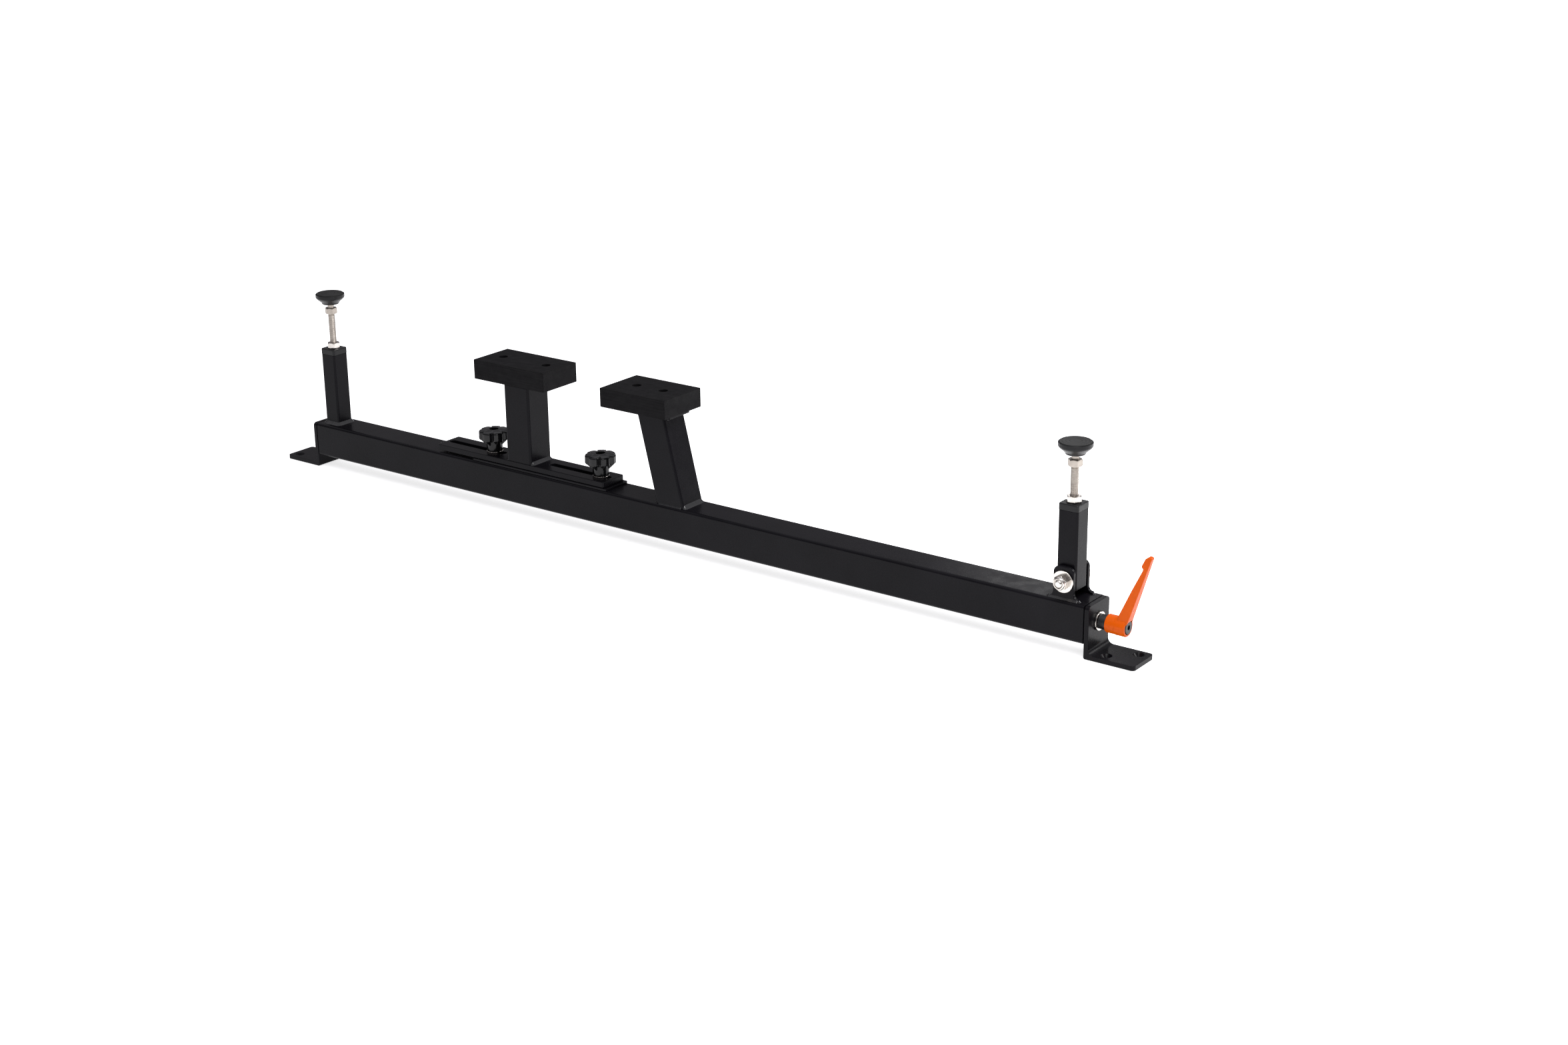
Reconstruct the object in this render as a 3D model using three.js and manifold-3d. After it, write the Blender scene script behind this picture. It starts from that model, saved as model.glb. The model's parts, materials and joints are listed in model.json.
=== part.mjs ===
// Ski tuning vise: a square beam that rolls between two bench brackets, with a
// sliding heel post, a leaning toe post and two height-adjustable ski supports.
// Millimetres, +Z up, +X along the beam, +Y to the back.
import * as THREE from 'three';
import { mergeVertices } from 'three/addons/utils/BufferGeometryUtils.js';
import Module from 'manifold-3d';

const wasm = await Module();
wasm.setup();

// ------------------------------------------------------------ dimensions
const BEAM_L = 1322;          // beam length
const BEAM_W = 50;            // square tube
const BEAM_T = 3;             // tube wall
const BEAM_R = 4;             // outer corner radius
const BENCH_GAP = 18;         // beam underside above the bench
const Z_TOP = BENCH_GAP + BEAM_W;
const Z_AXIS = BENCH_GAP + BEAM_W / 2;

const END_GAP = 1.5;          // beam end to bracket
const PLATE_T = 6;            // bracket plate
const FOOT_X = 70.5;          // foot end, from the beam end
const BEND_IN = 8;            // inside fillet of the angle
const BEND_OUT = 2;           // its nearly square outer corner
const PIVOT_HOLE = 6.3;

const POST = 27.2;            // support posts, square tube with its coating
const POST_T = 2;
const POST_R = 3;
const LEFT_POST_X = 22.5;
const LEFT_POST_TOP = 175.5;
const RIGHT_POST_X = 1290.3;
const RIGHT_POST_BOTTOM = 79;
const RIGHT_POST_TOP = 178.5;
const HINGE_Z = Z_TOP + 23.2; // hinge bolt axis
const CAP_H = 8.5;
const CAP_W = 27.6;

const EAR_T = 5;
const EAR_W = 28;
const EAR_H = 42;
const EAR_FOOT = 21.5;        // half length of the flared foot
const EAR_Y = 20;             // outer face of an ear from the centre plane

const ROD_R = 4.95;           // M10
const HEX_AF = 17;

const STRIP_X0 = 321, STRIP_X1 = 571, STRIP_W = 47, STRIP_T = 2.8;
const SLIDE_X0 = 250, SLIDE_X1 = 565.5, SLIDE_W = 44, SLIDE_T = 8.2;
const SLIDE_Z0 = Z_TOP + 3.3;
const SLIDE_Z1 = SLIDE_Z0 + SLIDE_T;
const SLOT_W = 10;
const SLOTS = [[256, 364], [450, 560]];
const KNOB_X = [343, 543];
const KNOB_HUB_R = 11.6;
const KNOB_LOBES = 7;

const FRAME_W = 45.6, FRAME_D = 43, FRAME_T = 2.5, FRAME_R = 3.5;  // heel and toe tube
const HEEL_X = 409;
const HEEL_PLATE = [353, 459];
const HEEL_BLOCK = [344, 474], HEEL_BLOCK_D = 70, HEEL_BLOCK_Z = [195.6, 223.5];
const TOE_LEAN = 0.245;       // tangent of the lean towards the heel
const TOE_X118 = 670.1;       // centre of the toe post at z = 118
const TOE_PLATE = [586, 686];
const TOE_BLOCK = [579.7, 692], TOE_BLOCK_D = 78, TOE_BLOCK_Z = [194.9, 221.3];
const TOP_PLATE_T = 4.8;
const HEEL_SCREWS = [369, 449];
const TOE_SCREWS = [612.8, 659];

const LEVER_X = 1329.5;       // outer face of the right bracket

// ------------------------------------------------------------ materials
const mat = (c, rough, metal) => new THREE.MeshStandardMaterial({ color: c, roughness: rough, metalness: metal });
const M = {
  black: mat(0x1b1b1e, 0.42, 0.1),
  steel: mat(0xb9b6b2, 0.28, 1.0),
  dark: mat(0x1f2022, 0.45, 0.8),
  hdpe: mat(0x242427, 0.62, 0.0),
  knob: mat(0x141416, 0.25, 0.0),
  cap: mat(0x1c1c1e, 0.5, 0.0),
  rubber: mat(0x151515, 0.85, 0.0),
  orange: mat(0xf0601a, 0.4, 0.1),
  nylon: mat(0xd9d6cc, 0.5, 0.0),
};

// ------------------------------------------------------------ solids
function toSolid(g) {
  let s = g.clone();
  s.deleteAttribute('normal');
  s.deleteAttribute('uv');
  s = mergeVertices(s, 1e-4);
  const ix = s.index.array, tri = [];
  for (let i = 0; i < ix.length; i += 3) {
    if (ix[i] !== ix[i + 1] && ix[i + 1] !== ix[i + 2] && ix[i] !== ix[i + 2]) tri.push(ix[i], ix[i + 1], ix[i + 2]);
  }
  return new wasm.Manifold(new wasm.Mesh({
    numProp: 3,
    vertProperties: Float32Array.from(s.attributes.position.array),
    triVerts: Uint32Array.from(tri),
  }));
}

function toGeometry(m) {
  const mesh = m.getMesh();
  const g = new THREE.BufferGeometry();
  g.setAttribute('position', new THREE.BufferAttribute(Float32Array.from(mesh.vertProperties), 3));
  g.setIndex(new THREE.BufferAttribute(Uint32Array.from(mesh.triVerts), 1));
  return g;
}

const basis = (x, y, z) => new THREE.Matrix4().makeBasis(new THREE.Vector3(...x), new THREE.Vector3(...y), new THREE.Vector3(...z));

// shape extruded along one axis; shape (x, y) lies on the other two
function extZ(shape, z0, z1, seg = 3) {
  return toSolid(new THREE.ExtrudeGeometry(shape, { depth: z1 - z0, bevelEnabled: false, curveSegments: seg }).translate(0, 0, z0));
}
function extX(shape, x0, x1, seg = 3) {   // shape x -> Y, shape y -> Z
  const g = new THREE.ExtrudeGeometry(shape, { depth: x1 - x0, bevelEnabled: false, curveSegments: seg });
  return toSolid(g.applyMatrix4(basis([0, 1, 0], [0, 0, 1], [1, 0, 0])).translate(x0, 0, 0));
}
function extY(shape, y0, y1, seg = 3) {   // shape x -> X, shape y -> Z
  const g = new THREE.ExtrudeGeometry(shape, { depth: y1 - y0, bevelEnabled: false, curveSegments: seg });
  return toSolid(g.applyMatrix4(basis([1, 0, 0], [0, 0, 1], [0, -1, 0])).translate(0, y1, 0));
}

function rounded(w, h, r, cx = 0, cy = 0) {
  const s = new THREE.Shape(), x = w / 2, y = h / 2;
  s.moveTo(cx - x + r, cy - y);
  s.lineTo(cx + x - r, cy - y);
  s.absarc(cx + x - r, cy - y + r, r, -Math.PI / 2, 0);
  s.lineTo(cx + x, cy + y - r);
  s.absarc(cx + x - r, cy + y - r, r, 0, Math.PI / 2);
  s.lineTo(cx - x + r, cy + y);
  s.absarc(cx - x + r, cy + y - r, r, Math.PI / 2, Math.PI);
  s.lineTo(cx - x, cy - y + r);
  s.absarc(cx - x + r, cy - y + r, r, Math.PI, 1.5 * Math.PI);
  return s;
}

function slot(x0, x1, w) {
  const s = new THREE.Shape(), r = w / 2;
  s.moveTo(x0 + r, -r);
  s.lineTo(x1 - r, -r);
  s.absarc(x1 - r, 0, r, -Math.PI / 2, Math.PI / 2);
  s.lineTo(x0 + r, r);
  s.absarc(x0 + r, 0, r, Math.PI / 2, 1.5 * Math.PI);
  return s;
}

function hexShape(af) {
  const s = new THREE.Shape(), r = af / 2 / Math.cos(Math.PI / 6);
  for (let i = 0; i < 6; i++) {
    const a = i * Math.PI / 3 + Math.PI / 6;
    if (i) s.lineTo(r * Math.cos(a), r * Math.sin(a)); else s.moveTo(r * Math.cos(a), r * Math.sin(a));
  }
  s.closePath();
  return s;
}

// turned body about an axis through the origin; profile points are [radius, height]
function turned(profile, seg = 16) {
  return toSolid(new THREE.LatheGeometry(profile.map(([r, h]) => new THREE.Vector2(r, h)), seg).rotateX(Math.PI / 2));
}
function turnedX(profile, seg = 16) {
  return toSolid(new THREE.LatheGeometry(profile.map(([r, h]) => new THREE.Vector2(r, h)), seg).rotateZ(-Math.PI / 2));
}
function turnedY(profile, seg = 16) {
  return toSolid(new THREE.LatheGeometry(profile.map(([r, h]) => new THREE.Vector2(r, h)), seg));
}
const rod = (r, a, b) => [[0, a], [r, a], [r, b], [0, b]];
const ring = (r0, r1, a, b) => [[r0, a], [r1, a], [r1, b], [r0, b], [r0, a]];
const at = (s, x, y, z) => s.translate([x, y, z]);

// stack of closed outlines with the same number of points, capped at both ends
function loft(rings) {
  const n = rings[0].length, v = [], f = [];
  for (const r of rings) for (const p of r) v.push(p[0], p[1], p[2]);
  for (let k = 0; k + 1 < rings.length; k++) {
    for (let i = 0; i < n; i++) {
      const a = k * n + i, b = k * n + (i + 1) % n, c = a + n, d = b + n;
      f.push(a, b, d, a, d, c);
    }
  }
  const cap = (k, flip) => {
    const c = [0, 0, 0];
    for (const p of rings[k]) for (let j = 0; j < 3; j++) c[j] += p[j] / n;
    const id = v.length / 3;
    v.push(...c);
    for (let i = 0; i < n; i++) {
      const a = k * n + i, b = k * n + (i + 1) % n;
      if (flip) f.push(id, b, a); else f.push(id, a, b);
    }
  };
  cap(0, true);
  cap(rings.length - 1, false);
  const g = new THREE.BufferGeometry();
  g.setAttribute('position', new THREE.BufferAttribute(new Float32Array(v), 3));
  g.setIndex(f);
  return toSolid(g);
}

// weld fillet round a rectangular tube: wide at one end, flush at the other
function fillet(w, d, leg, z0, up = true, side = leg) {
  const g = new THREE.CylinderGeometry(1, 1, leg, 4, 1);
  g.rotateY(Math.PI / 4);
  g.rotateX(Math.PI / 2);
  const p = g.attributes.position;
  for (let i = 0; i < p.count; i++) {
    const top = p.getZ(i) > 0;
    const wide = up ? !top : top;
    const e = wide ? leg : 0.05, f = wide ? side : 0.05;
    p.setX(i, Math.sign(p.getX(i)) * (Math.abs(p.getX(i)) < 1e-6 ? 0 : w / 2 + e));
    p.setY(i, Math.sign(p.getY(i)) * (Math.abs(p.getY(i)) < 1e-6 ? 0 : d / 2 + f));
  }
  g.translate(0, 0, z0 + leg / 2);
  return toSolid(g);
}

const root = new THREE.Group();
function add(name, shape, material, x = 0, y = 0, z = 0) {
  const mesh = new THREE.Mesh(toGeometry(shape), material);
  mesh.name = name;
  mesh.position.set(x, y, z);
  root.add(mesh);
  return mesh;
}

// ------------------------------------------------------------ bench brackets
// One folded part, used turned round at the other end. Local frame: inside face
// of the upright at x = 0, foot towards +x, bench at z = 0.
function bracket() {
  const L = FOOT_X - END_GAP, R = BEND_IN + PLATE_T, O = BEND_OUT;
  const s = new THREE.Shape();
  s.moveTo(0, O);
  s.absarc(O, O, O, Math.PI, 1.5 * Math.PI);
  s.lineTo(L, 0);
  s.lineTo(L, PLATE_T);
  s.lineTo(R, PLATE_T);
  s.absarc(R, R, BEND_IN, 1.5 * Math.PI, Math.PI, true);
  s.lineTo(PLATE_T, Z_TOP);
  s.lineTo(0, Z_TOP);
  s.closePath();
  let b = extY(s, -BEAM_W / 2, BEAM_W / 2, 4);
  b = b.intersect(extX(rounded(BEAM_W, 160, 5, 0, Z_TOP - 80), -5, L + 5, 3));
  b = b.intersect(extZ(rounded(160, BEAM_W, 5, L - 80, 0), -5, Z_TOP + 5, 3));
  b = b.subtract(turnedX(rod(PIVOT_HOLE, -2, 9), 16).translate([0, 0, Z_AXIS]));
  for (const [x, y] of [[24.8, -12.5], [55, 13]]) {
    b = b.subtract(at(turned([[0, -1], [3.3, -1], [3.3, 2.1], [7.2, 6.05], [7.2, 9], [0, 9]], 14), x, y, 0));
  }
  return b;
}
add('right_bracket', bracket(), M.black, BEAM_L + END_GAP, 0, 0);
const left = add('left_bracket', bracket(), M.black, -END_GAP, 0, 0);
left.rotation.z = Math.PI;

// ------------------------------------------------------------ main beam
{
  let b = extX(rounded(BEAM_W, BEAM_W, BEAM_R, 0, Z_AXIS), 0, BEAM_L, 3);
  b = b.subtract(extX(rounded(BEAM_W - 2 * BEAM_T, BEAM_W - 2 * BEAM_T, 1.5, 0, Z_AXIS), -1, BEAM_L + 1, 2));
  for (const x of KNOB_X) b = b.subtract(at(turned(rod(5.8, -6, 4), 16), x, 0, Z_TOP));
  add('main_beam', b, M.black);
}
const endPlate = () => extX(rounded(43.3, 43.3, 1.3, 0, 0), 0, 8, 2).subtract(turnedX(rod(6.25, -1, 9), 16));
add('beam_end_plate_left', endPlate(), M.black, 0.4, 0, Z_AXIS);
add('beam_end_plate_right', endPlate(), M.black, BEAM_L - 8.4, 0, Z_AXIS);

// ------------------------------------------------------------ left pivot
add('left_pivot_bolt', turnedX(rod(5.9, -9.9, 14), 16)
  .add(extX(hexShape(18), -17.6, -9.8)), M.steel, 0, 0, Z_AXIS);
add('left_pivot_washer', turnedX(ring(6.4, 12, -9.7, -7.7), 18), M.steel, 0, 0, Z_AXIS);
add('left_bearing_washer', turnedX(ring(6.4, 15, -1.35, -0.15), 18), M.nylon, 0, 0, Z_AXIS);
add('right_bearing_washer', turnedX(ring(6.4, 15, 0.15, 1.35), 18), M.nylon, BEAM_L, 0, Z_AXIS);

// ------------------------------------------------------------ clamping lever
{
  const X = LEVER_X;
  add('lever_washer', turnedX(ring(6.4, 12, 0.2, 2.7), 20), M.steel, X, 0, Z_AXIS);

  // threaded insert with a serrated nose; the stud screws into the beam's end plate
  const teeth = new THREE.Shape();
  for (let i = 0; i < 24; i++) {
    const r = i % 2 ? 7.2 : 6.5, a = (i + 0.5) * Math.PI / 12;
    if (i) teeth.lineTo(r * Math.cos(a), r * Math.sin(a)); else teeth.moveTo(r * Math.cos(a), r * Math.sin(a));
  }
  teeth.closePath();
  let ins = turnedX([[0, -18], [5.9, -18], [5.9, 2.9], [9.3, 2.9], [9.3, 17.4], [0, 17.4]], 18);
  ins = ins.add(extX(teeth, 17.2, 22));
  ins = ins.subtract(turnedX(rod(3.1, 15, 24), 12));
  add('lever_insert', ins, M.dark, X, 0, Z_AXIS);

  // cast handle: hub with stepped bore, flat tapering arm with a hooked tip
  let h = turnedX([[0, 13.1], [11.0, 13.1], [11.6, 13.7], [11.6, 26.2], [12.0, 26.6], [12.0, 38.8], [10.8, 40.2], [0, 40.2]], 24);
  const arm = new THREE.Shape();
  for (const [i, p] of [[26.8, 0], [41.6, 0], [42.3, 7], [69.2, 93.4], [68.0, 95.0], [64.6, 95.5], [60.6, 92.4], [56.4, 83.0], [56.6, 81.2], [58.4, 79.6], [58.0, 77.3], [45.6, 51], [28.9, 13.0]].entries()) {
    if (i) arm.lineTo(p[0], p[1]); else arm.moveTo(p[0], p[1]);
  }
  arm.closePath();
  let a = extY(arm, -8, 8);
  // the arm thins from 16 mm at the hub to 7 mm at the tip
  for (const s of [1, -1]) {
    const w = new THREE.Shape();
    w.moveTo(s * 8.1, 6);
    w.lineTo(s * 3.7, 96.5);
    w.lineTo(s * 12, 96.5);
    w.lineTo(s * 12, 6);
    w.closePath();
    a = a.subtract(extX(w, 10, 90));
  }
  h = h.add(a);
  h = h.subtract(turnedX(rod(9.7, 10, 17.6), 18));
  h = h.subtract(turnedX(rod(7.6, 17, 22.6), 18));
  h = h.subtract(turnedX(rod(3.4, 22, 26), 12));
  h = h.subtract(turnedX(rod(9.0, 24.6, 43), 18));
  add('lever_handle', h, M.orange, X, 0, Z_AXIS);

  let sc = turnedX([[0, 16], [2.95, 16], [2.95, 33.4], [8.4, 33.4], [8.4, 40.2], [7.8, 40.8], [0, 40.8]], 16);
  sc = sc.subtract(extX(hexShape(6), 36.8, 43));
  add('lever_screw', sc, M.dark, X, 0, Z_AXIS);

  // retaining spring, drawn at the length it has with the handle pulled out
  const turns = 3, step = 9, wire = 0.55, R = 5.2, x0 = 30.1, x1 = 32.5;
  const rings = [];
  for (let k = 0; k <= turns * step; k++) {
    const t = k / (turns * step), ang = 2 * Math.PI * turns * t;
    const cx = x0 + (x1 - x0) * t, out = [];
    for (let j = 0; j < 4; j++) {
      const b = j * Math.PI / 2, r = R + wire * Math.cos(b);
      out.push([cx + wire * 0.9 * Math.sin(b), r * Math.cos(ang), r * Math.sin(ang)]);
    }
    rings.push(out.reverse());
  }
  let sp = loft(rings);
  add('lever_spring', sp, M.steel, X, 0, Z_AXIS);
}

// ------------------------------------------------------------ welded tubes
function tube(w, d, r, z0, z1) {
  return extZ(rounded(w, d, r), z0, z1, 3);
}
function bore(w, d, r, t, z0, z1) {
  return extZ(rounded(w - 2 * t, d - 2 * t, Math.max(r - t, 1)), z0, z1, 1);
}

// left support post, welded on the beam
{
  const z0 = Z_TOP + 0.2;
  let p = tube(POST, POST, POST_R, z0, LEFT_POST_TOP).add(fillet(POST, POST, 4.5, z0));
  p = p.subtract(bore(POST, POST, POST_R, POST_T, z0 - 1, LEFT_POST_TOP + 1));
  add('left_post', p, M.black, LEFT_POST_X, 0, 0);
}

// ------------------------------------------------------------ support heads
// threaded cap, lock nut, stud with hexagon and ball, swivel pad and rubber face
function support(side, x, top, hexZ) {
  let cap = extZ(rounded(CAP_W, CAP_W, POST_R), top + 0.2, top + CAP_H, 3);
  cap = cap.add(extZ(rounded(22.6, 22.6, 1), top - 20, top + 0.4, 1));
  cap = cap.subtract(turned(rod(5.2, top - 22, top + 12), 16));
  add(`${side}_post_cap`, cap, M.cap, x, 0, 0);

  const n0 = top + CAP_H + 0.2;
  const nut = extZ(hexShape(HEX_AF), n0, n0 + 8)
    .subtract(turned(rod(5.2, n0 - 1, n0 + 9), 16));
  add(`${side}_lock_nut`, nut, M.steel, x, 0, 0);

  const ball = hexZ + 19.5;
  const stud = turned([[0, hexZ - 98], [4.2, hexZ - 98], [ROD_R, hexZ - 97.2], [ROD_R, hexZ], [4.6, hexZ],
    [4.6, ball - 3.9], [6.0, ball], [4.6, ball + 3.9], [0, ball + 6]], 16)
    .add(extZ(hexShape(16), hexZ, hexZ + 9));
  add(`${side}_stud`, stud, M.steel, x, 0, 0);

  const p = hexZ + 15;          // underside of the pad
  const pad = turned([[0, p + 12.2], [7.3, p + 12.2], [7.3, p], [12.3, p], [13.4, p + 2.6], [20.2, p + 8.6],
    [21.3, p + 10.4], [21.3, p + 15], [20.2, p + 15], [20.2, p + 14], [0, p + 14]], 20);
  add(`${side}_pad`, pad, M.cap, x, 0, 0);
  add(`${side}_pad_face`, turned([[0, p + 14.2], [19.8, p + 14.2], [19.8, p + 15.6], [19.2, p + 16.2], [0, p + 16.2]], 20), M.rubber, x, 0, 0);
}
support('left', LEFT_POST_X, LEFT_POST_TOP, 236.5);
support('right', RIGHT_POST_X, RIGHT_POST_TOP, 232);

// ------------------------------------------------------------ folding right post
{
  let p = tube(POST, POST, POST_R, RIGHT_POST_BOTTOM, RIGHT_POST_TOP);
  p = p.subtract(bore(POST, POST, POST_R, POST_T, RIGHT_POST_BOTTOM - 1, RIGHT_POST_TOP + 1));
  p = p.subtract(at(turnedY(rod(5.35, -20, 20), 16), 0, 0, HINGE_Z));
  add('right_post', p, M.black, RIGHT_POST_X, 0, 0);

  // ear: rounded top, concave flare to a long foot on the beam
  const w = EAR_W / 2, f = EAR_FOOT, r = f - w, z0 = Z_TOP + 0.2, z1 = Z_TOP + EAR_H, c = 8.5;
  const s = new THREE.Shape();
  s.moveTo(-f, z0);
  s.lineTo(f, z0);
  s.lineTo(f, z0 + 1.8);
  s.absarc(f, z0 + 1.8 + r, r, 1.5 * Math.PI, Math.PI, true);
  s.lineTo(w, z1 - c);
  s.absarc(w - c, z1 - c, c, 0, Math.PI / 2);
  s.lineTo(-w + c, z1);
  s.absarc(-w + c, z1 - c, c, Math.PI / 2, Math.PI);
  s.lineTo(-w, z0 + 1.8 + r);
  s.absarc(-f, z0 + 1.8 + r, r, 0, -Math.PI / 2, true);
  s.closePath();
  const hole = turnedY(rod(5.3, -30, 30), 16).translate([0, 0, HINGE_Z]);
  add('front_ear', extY(s, -EAR_Y, -EAR_Y + EAR_T, 4).subtract(hole), M.black, RIGHT_POST_X, 0, 0);
  add('back_ear', extY(s, EAR_Y - EAR_T, EAR_Y, 4).subtract(hole), M.black, RIGHT_POST_X, 0, 0);

  const H = [RIGHT_POST_X, 0, HINGE_Z];
  add('hinge_spacer_front', turnedY(ring(5.3, 11, -14.85, -13.75), 16), M.nylon, ...H);
  add('hinge_spacer_back', turnedY(ring(5.3, 11, 13.75, 14.85), 16), M.nylon, ...H);
  add('hinge_washer_front', turnedY(ring(5.3, 14, -22.2, -20.2), 20), M.steel, ...H);
  add('hinge_washer_back', turnedY(ring(5.3, 14, 20.2, 22.2), 20), M.steel, ...H);
  const bolt = turnedY([[0, -33.5], [4.1, -33.5], [ROD_R, -32.6], [ROD_R, 22.6], [0, 22.6]], 16).add(extY(hexShape(17), 22.4, 28.9));
  add('hinge_bolt', bolt, M.steel, ...H);
  const nut = extY(hexShape(17), -29.6, -22.4).add(turnedY(rod(8.0, -32, -29.4), 18)).subtract(turnedY(rod(5.2, -40, -20), 16));
  add('hinge_nut', nut, M.steel, ...H);
}

// ------------------------------------------------------------ heel carriage
{
  const z0 = Z_TOP + 0.2;
  let strip = extZ(rounded(STRIP_X1 - STRIP_X0, STRIP_W, 2, (STRIP_X0 + STRIP_X1) / 2, 0), z0, z0 + STRIP_T, 3);
  for (const x of KNOB_X) strip = strip.subtract(at(turned(rod(7.7, 0, 20), 16), x, 0, Z_TOP - 5));
  add('slide_base_strip', strip, M.black);

  let plate = extZ(rounded(SLIDE_X1 - SLIDE_X0, SLIDE_W, 3, (SLIDE_X0 + SLIDE_X1) / 2, 0), SLIDE_Z0, SLIDE_Z1, 3);
  for (const [a, b] of SLOTS) plate = plate.subtract(extZ(slot(a, b, SLOT_W), SLIDE_Z0 - 2, SLIDE_Z1 + 2, 5));
  add('slide_plate', plate, M.black);

  for (const [i, x] of KNOB_X.entries()) {
    const side = i ? 'right' : 'left';
    add(`${side}_threaded_insert`, turned([[4.2, -16], [5.5, -16], [5.5, 0.1], [7.3, 0.1], [7.3, 1.1], [4.2, 1.1], [4.2, -16]], 16), M.steel, x, 0, Z_TOP);
    const w0 = SLIDE_Z1 + 0.1;
    add(`${side}_knob_washer`, turned(ring(4.3, 11.7, w0, w0 + 1.5), 20), M.steel, x, 0, 0);
    add(`${side}_knob_stud`, turned([[0, 50], [3.3, 50], [3.95, 50.8], [3.95, 106], [0, 106]], 14), M.steel, x, 0, 0);

    // star knob: seven lobes over a round hub, shallow domed top with a recess
    const outline = (scale, z) => {
      const pts = [];
      for (let k = 0; k < KNOB_LOBES; k++) {
        const c = (k + 0.42) * 2 * Math.PI / KNOB_LOBES, half = Math.PI / KNOB_LOBES;
        for (const [u, r] of [[-1, 18.3], [-0.7, 20.3], [-0.42, 21.9], [0.42, 21.9], [0.7, 20.3]]) {
          const a = c + u * half;
          pts.push([scale * r * Math.cos(a), scale * r * Math.sin(a), z]);
        }
      }
      return pts;
    };
    const k0 = w0 + 1.65, h0 = 98.8;
    let k = turned([[0, k0], [10.6, k0], [KNOB_HUB_R, k0 + 1.2], [KNOB_HUB_R, h0 + 4], [0, h0 + 4]], 20);
    k = k.add(loft([outline(1, h0), outline(1, h0 + 11.2), outline(0.94, h0 + 12.2), outline(0.4, h0 + 14.2)]));
    k = k.subtract(turned(rod(6.6, 108.2, 120), 18));
    k = k.subtract(turned(rod(4.15, k0 - 2, 106.2), 14));
    add(`${side}_star_knob`, k, M.knob, x, 0, 0);
  }

  const p0 = SLIDE_Z1 + 0.2, p1 = HEEL_BLOCK_Z[0] - TOP_PLATE_T - 0.4;
  // the tube is nearly as wide as the plate, so it is welded along its two ends only
  let post = tube(FRAME_W, FRAME_D, FRAME_R, p0, p1).add(fillet(FRAME_W, FRAME_D, 4, p0, true, 0.3)).add(fillet(FRAME_W, FRAME_D, 3.5, p1 - 3.5, false, 0.05));
  post = post.subtract(bore(FRAME_W, FRAME_D, FRAME_R, FRAME_T, p0 - 1, p1 + 1));
  add('heel_post', post, M.black, HEEL_X, 0, 0);
}

// block on its top plate, two screws from above
function block(kind, plateX, plateD, blockX, blockD, [b0, b1], screws) {
  const mid = (a) => (a[0] + a[1]) / 2;
  let plate = extZ(rounded(plateX[1] - plateX[0], plateD, 2, mid(plateX), 0), b0 - TOP_PLATE_T - 0.2, b0 - 0.2, 2);
  let slab = extZ(rounded(blockX[1] - blockX[0], blockD, 1.2, mid(blockX), 0), b0, b1, 2);
  for (const x of screws) {
    plate = plate.subtract(at(turned(rod(3.15, -12, 2), 12), x, 0, b0));
    slab = slab.subtract(at(turned([[0, b0 - 1], [3.4, b0 - 1], [3.4, b1 - 12], [6.2, b1 - 12], [6.2, b1 + 1], [0, b1 + 1]], 16), x, 0, 0));
  }
  add(`${kind}_top_plate`, plate, M.black);
  add(`${kind}_block`, slab, M.hdpe);
  for (const [i, x] of screws.entries()) {
    const s = turned([[0, b0 - 8], [2.95, b0 - 8], [2.95, b1 - 11.8], [5.2, b1 - 11.8], [5.2, b1 - 6.2], [4.8, b1 - 5.8], [0, b1 - 5.8]], 14)
      .subtract(at(extZ(hexShape(5), b1 - 8.8, b1), 0, 0, 0));
    add(`${kind}_block_screw_${i ? 'right' : 'left'}`, s, M.dark, x, 0, 0);
  }
}
block('heel', HEEL_PLATE, 44, HEEL_BLOCK, HEEL_BLOCK_D, HEEL_BLOCK_Z, HEEL_SCREWS);
block('toe', TOE_PLATE, 44, TOE_BLOCK, TOE_BLOCK_D, TOE_BLOCK_Z, TOE_SCREWS);

// ------------------------------------------------------------ toe post
{
  const z0 = Z_TOP + 0.2, z1 = TOE_BLOCK_Z[0] - TOP_PLATE_T - 0.4;
  const w = FRAME_W * Math.sqrt(1 + TOE_LEAN * TOE_LEAN);
  let p = tube(w, FRAME_D, FRAME_R, z0, z1).add(fillet(w, FRAME_D, 4.5, z0, true, 1.8)).add(fillet(w, FRAME_D, 5, z1 - 5, false, 0.05));
  p = p.subtract(bore(w, FRAME_D, FRAME_R, FRAME_T, z0 - 1, z1 + 1));
  const lean = new THREE.Matrix4().set(1, 0, -TOE_LEAN, TOE_X118 + TOE_LEAN * 118, 0, 1, 0, 0, 0, 0, 1, 0, 0, 0, 0, 1);
  p = toSolid(toGeometry(p).applyMatrix4(lean));
  add('toe_post', p, M.black);
}

// ------------------------------------------------------------ origin
// bottom centre of the whole object
root.updateMatrixWorld(true);
const box = new THREE.Box3().setFromObject(root, true);
const mid = box.getCenter(new THREE.Vector3());
root.position.set(-mid.x, -mid.y, -box.min.z);
root.updateMatrixWorld(true);

export default root;
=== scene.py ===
import json
import math
import random

import bpy
import bmesh
from mathutils import Vector, Matrix
from mathutils.geometry import tessellate_polygon

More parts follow.
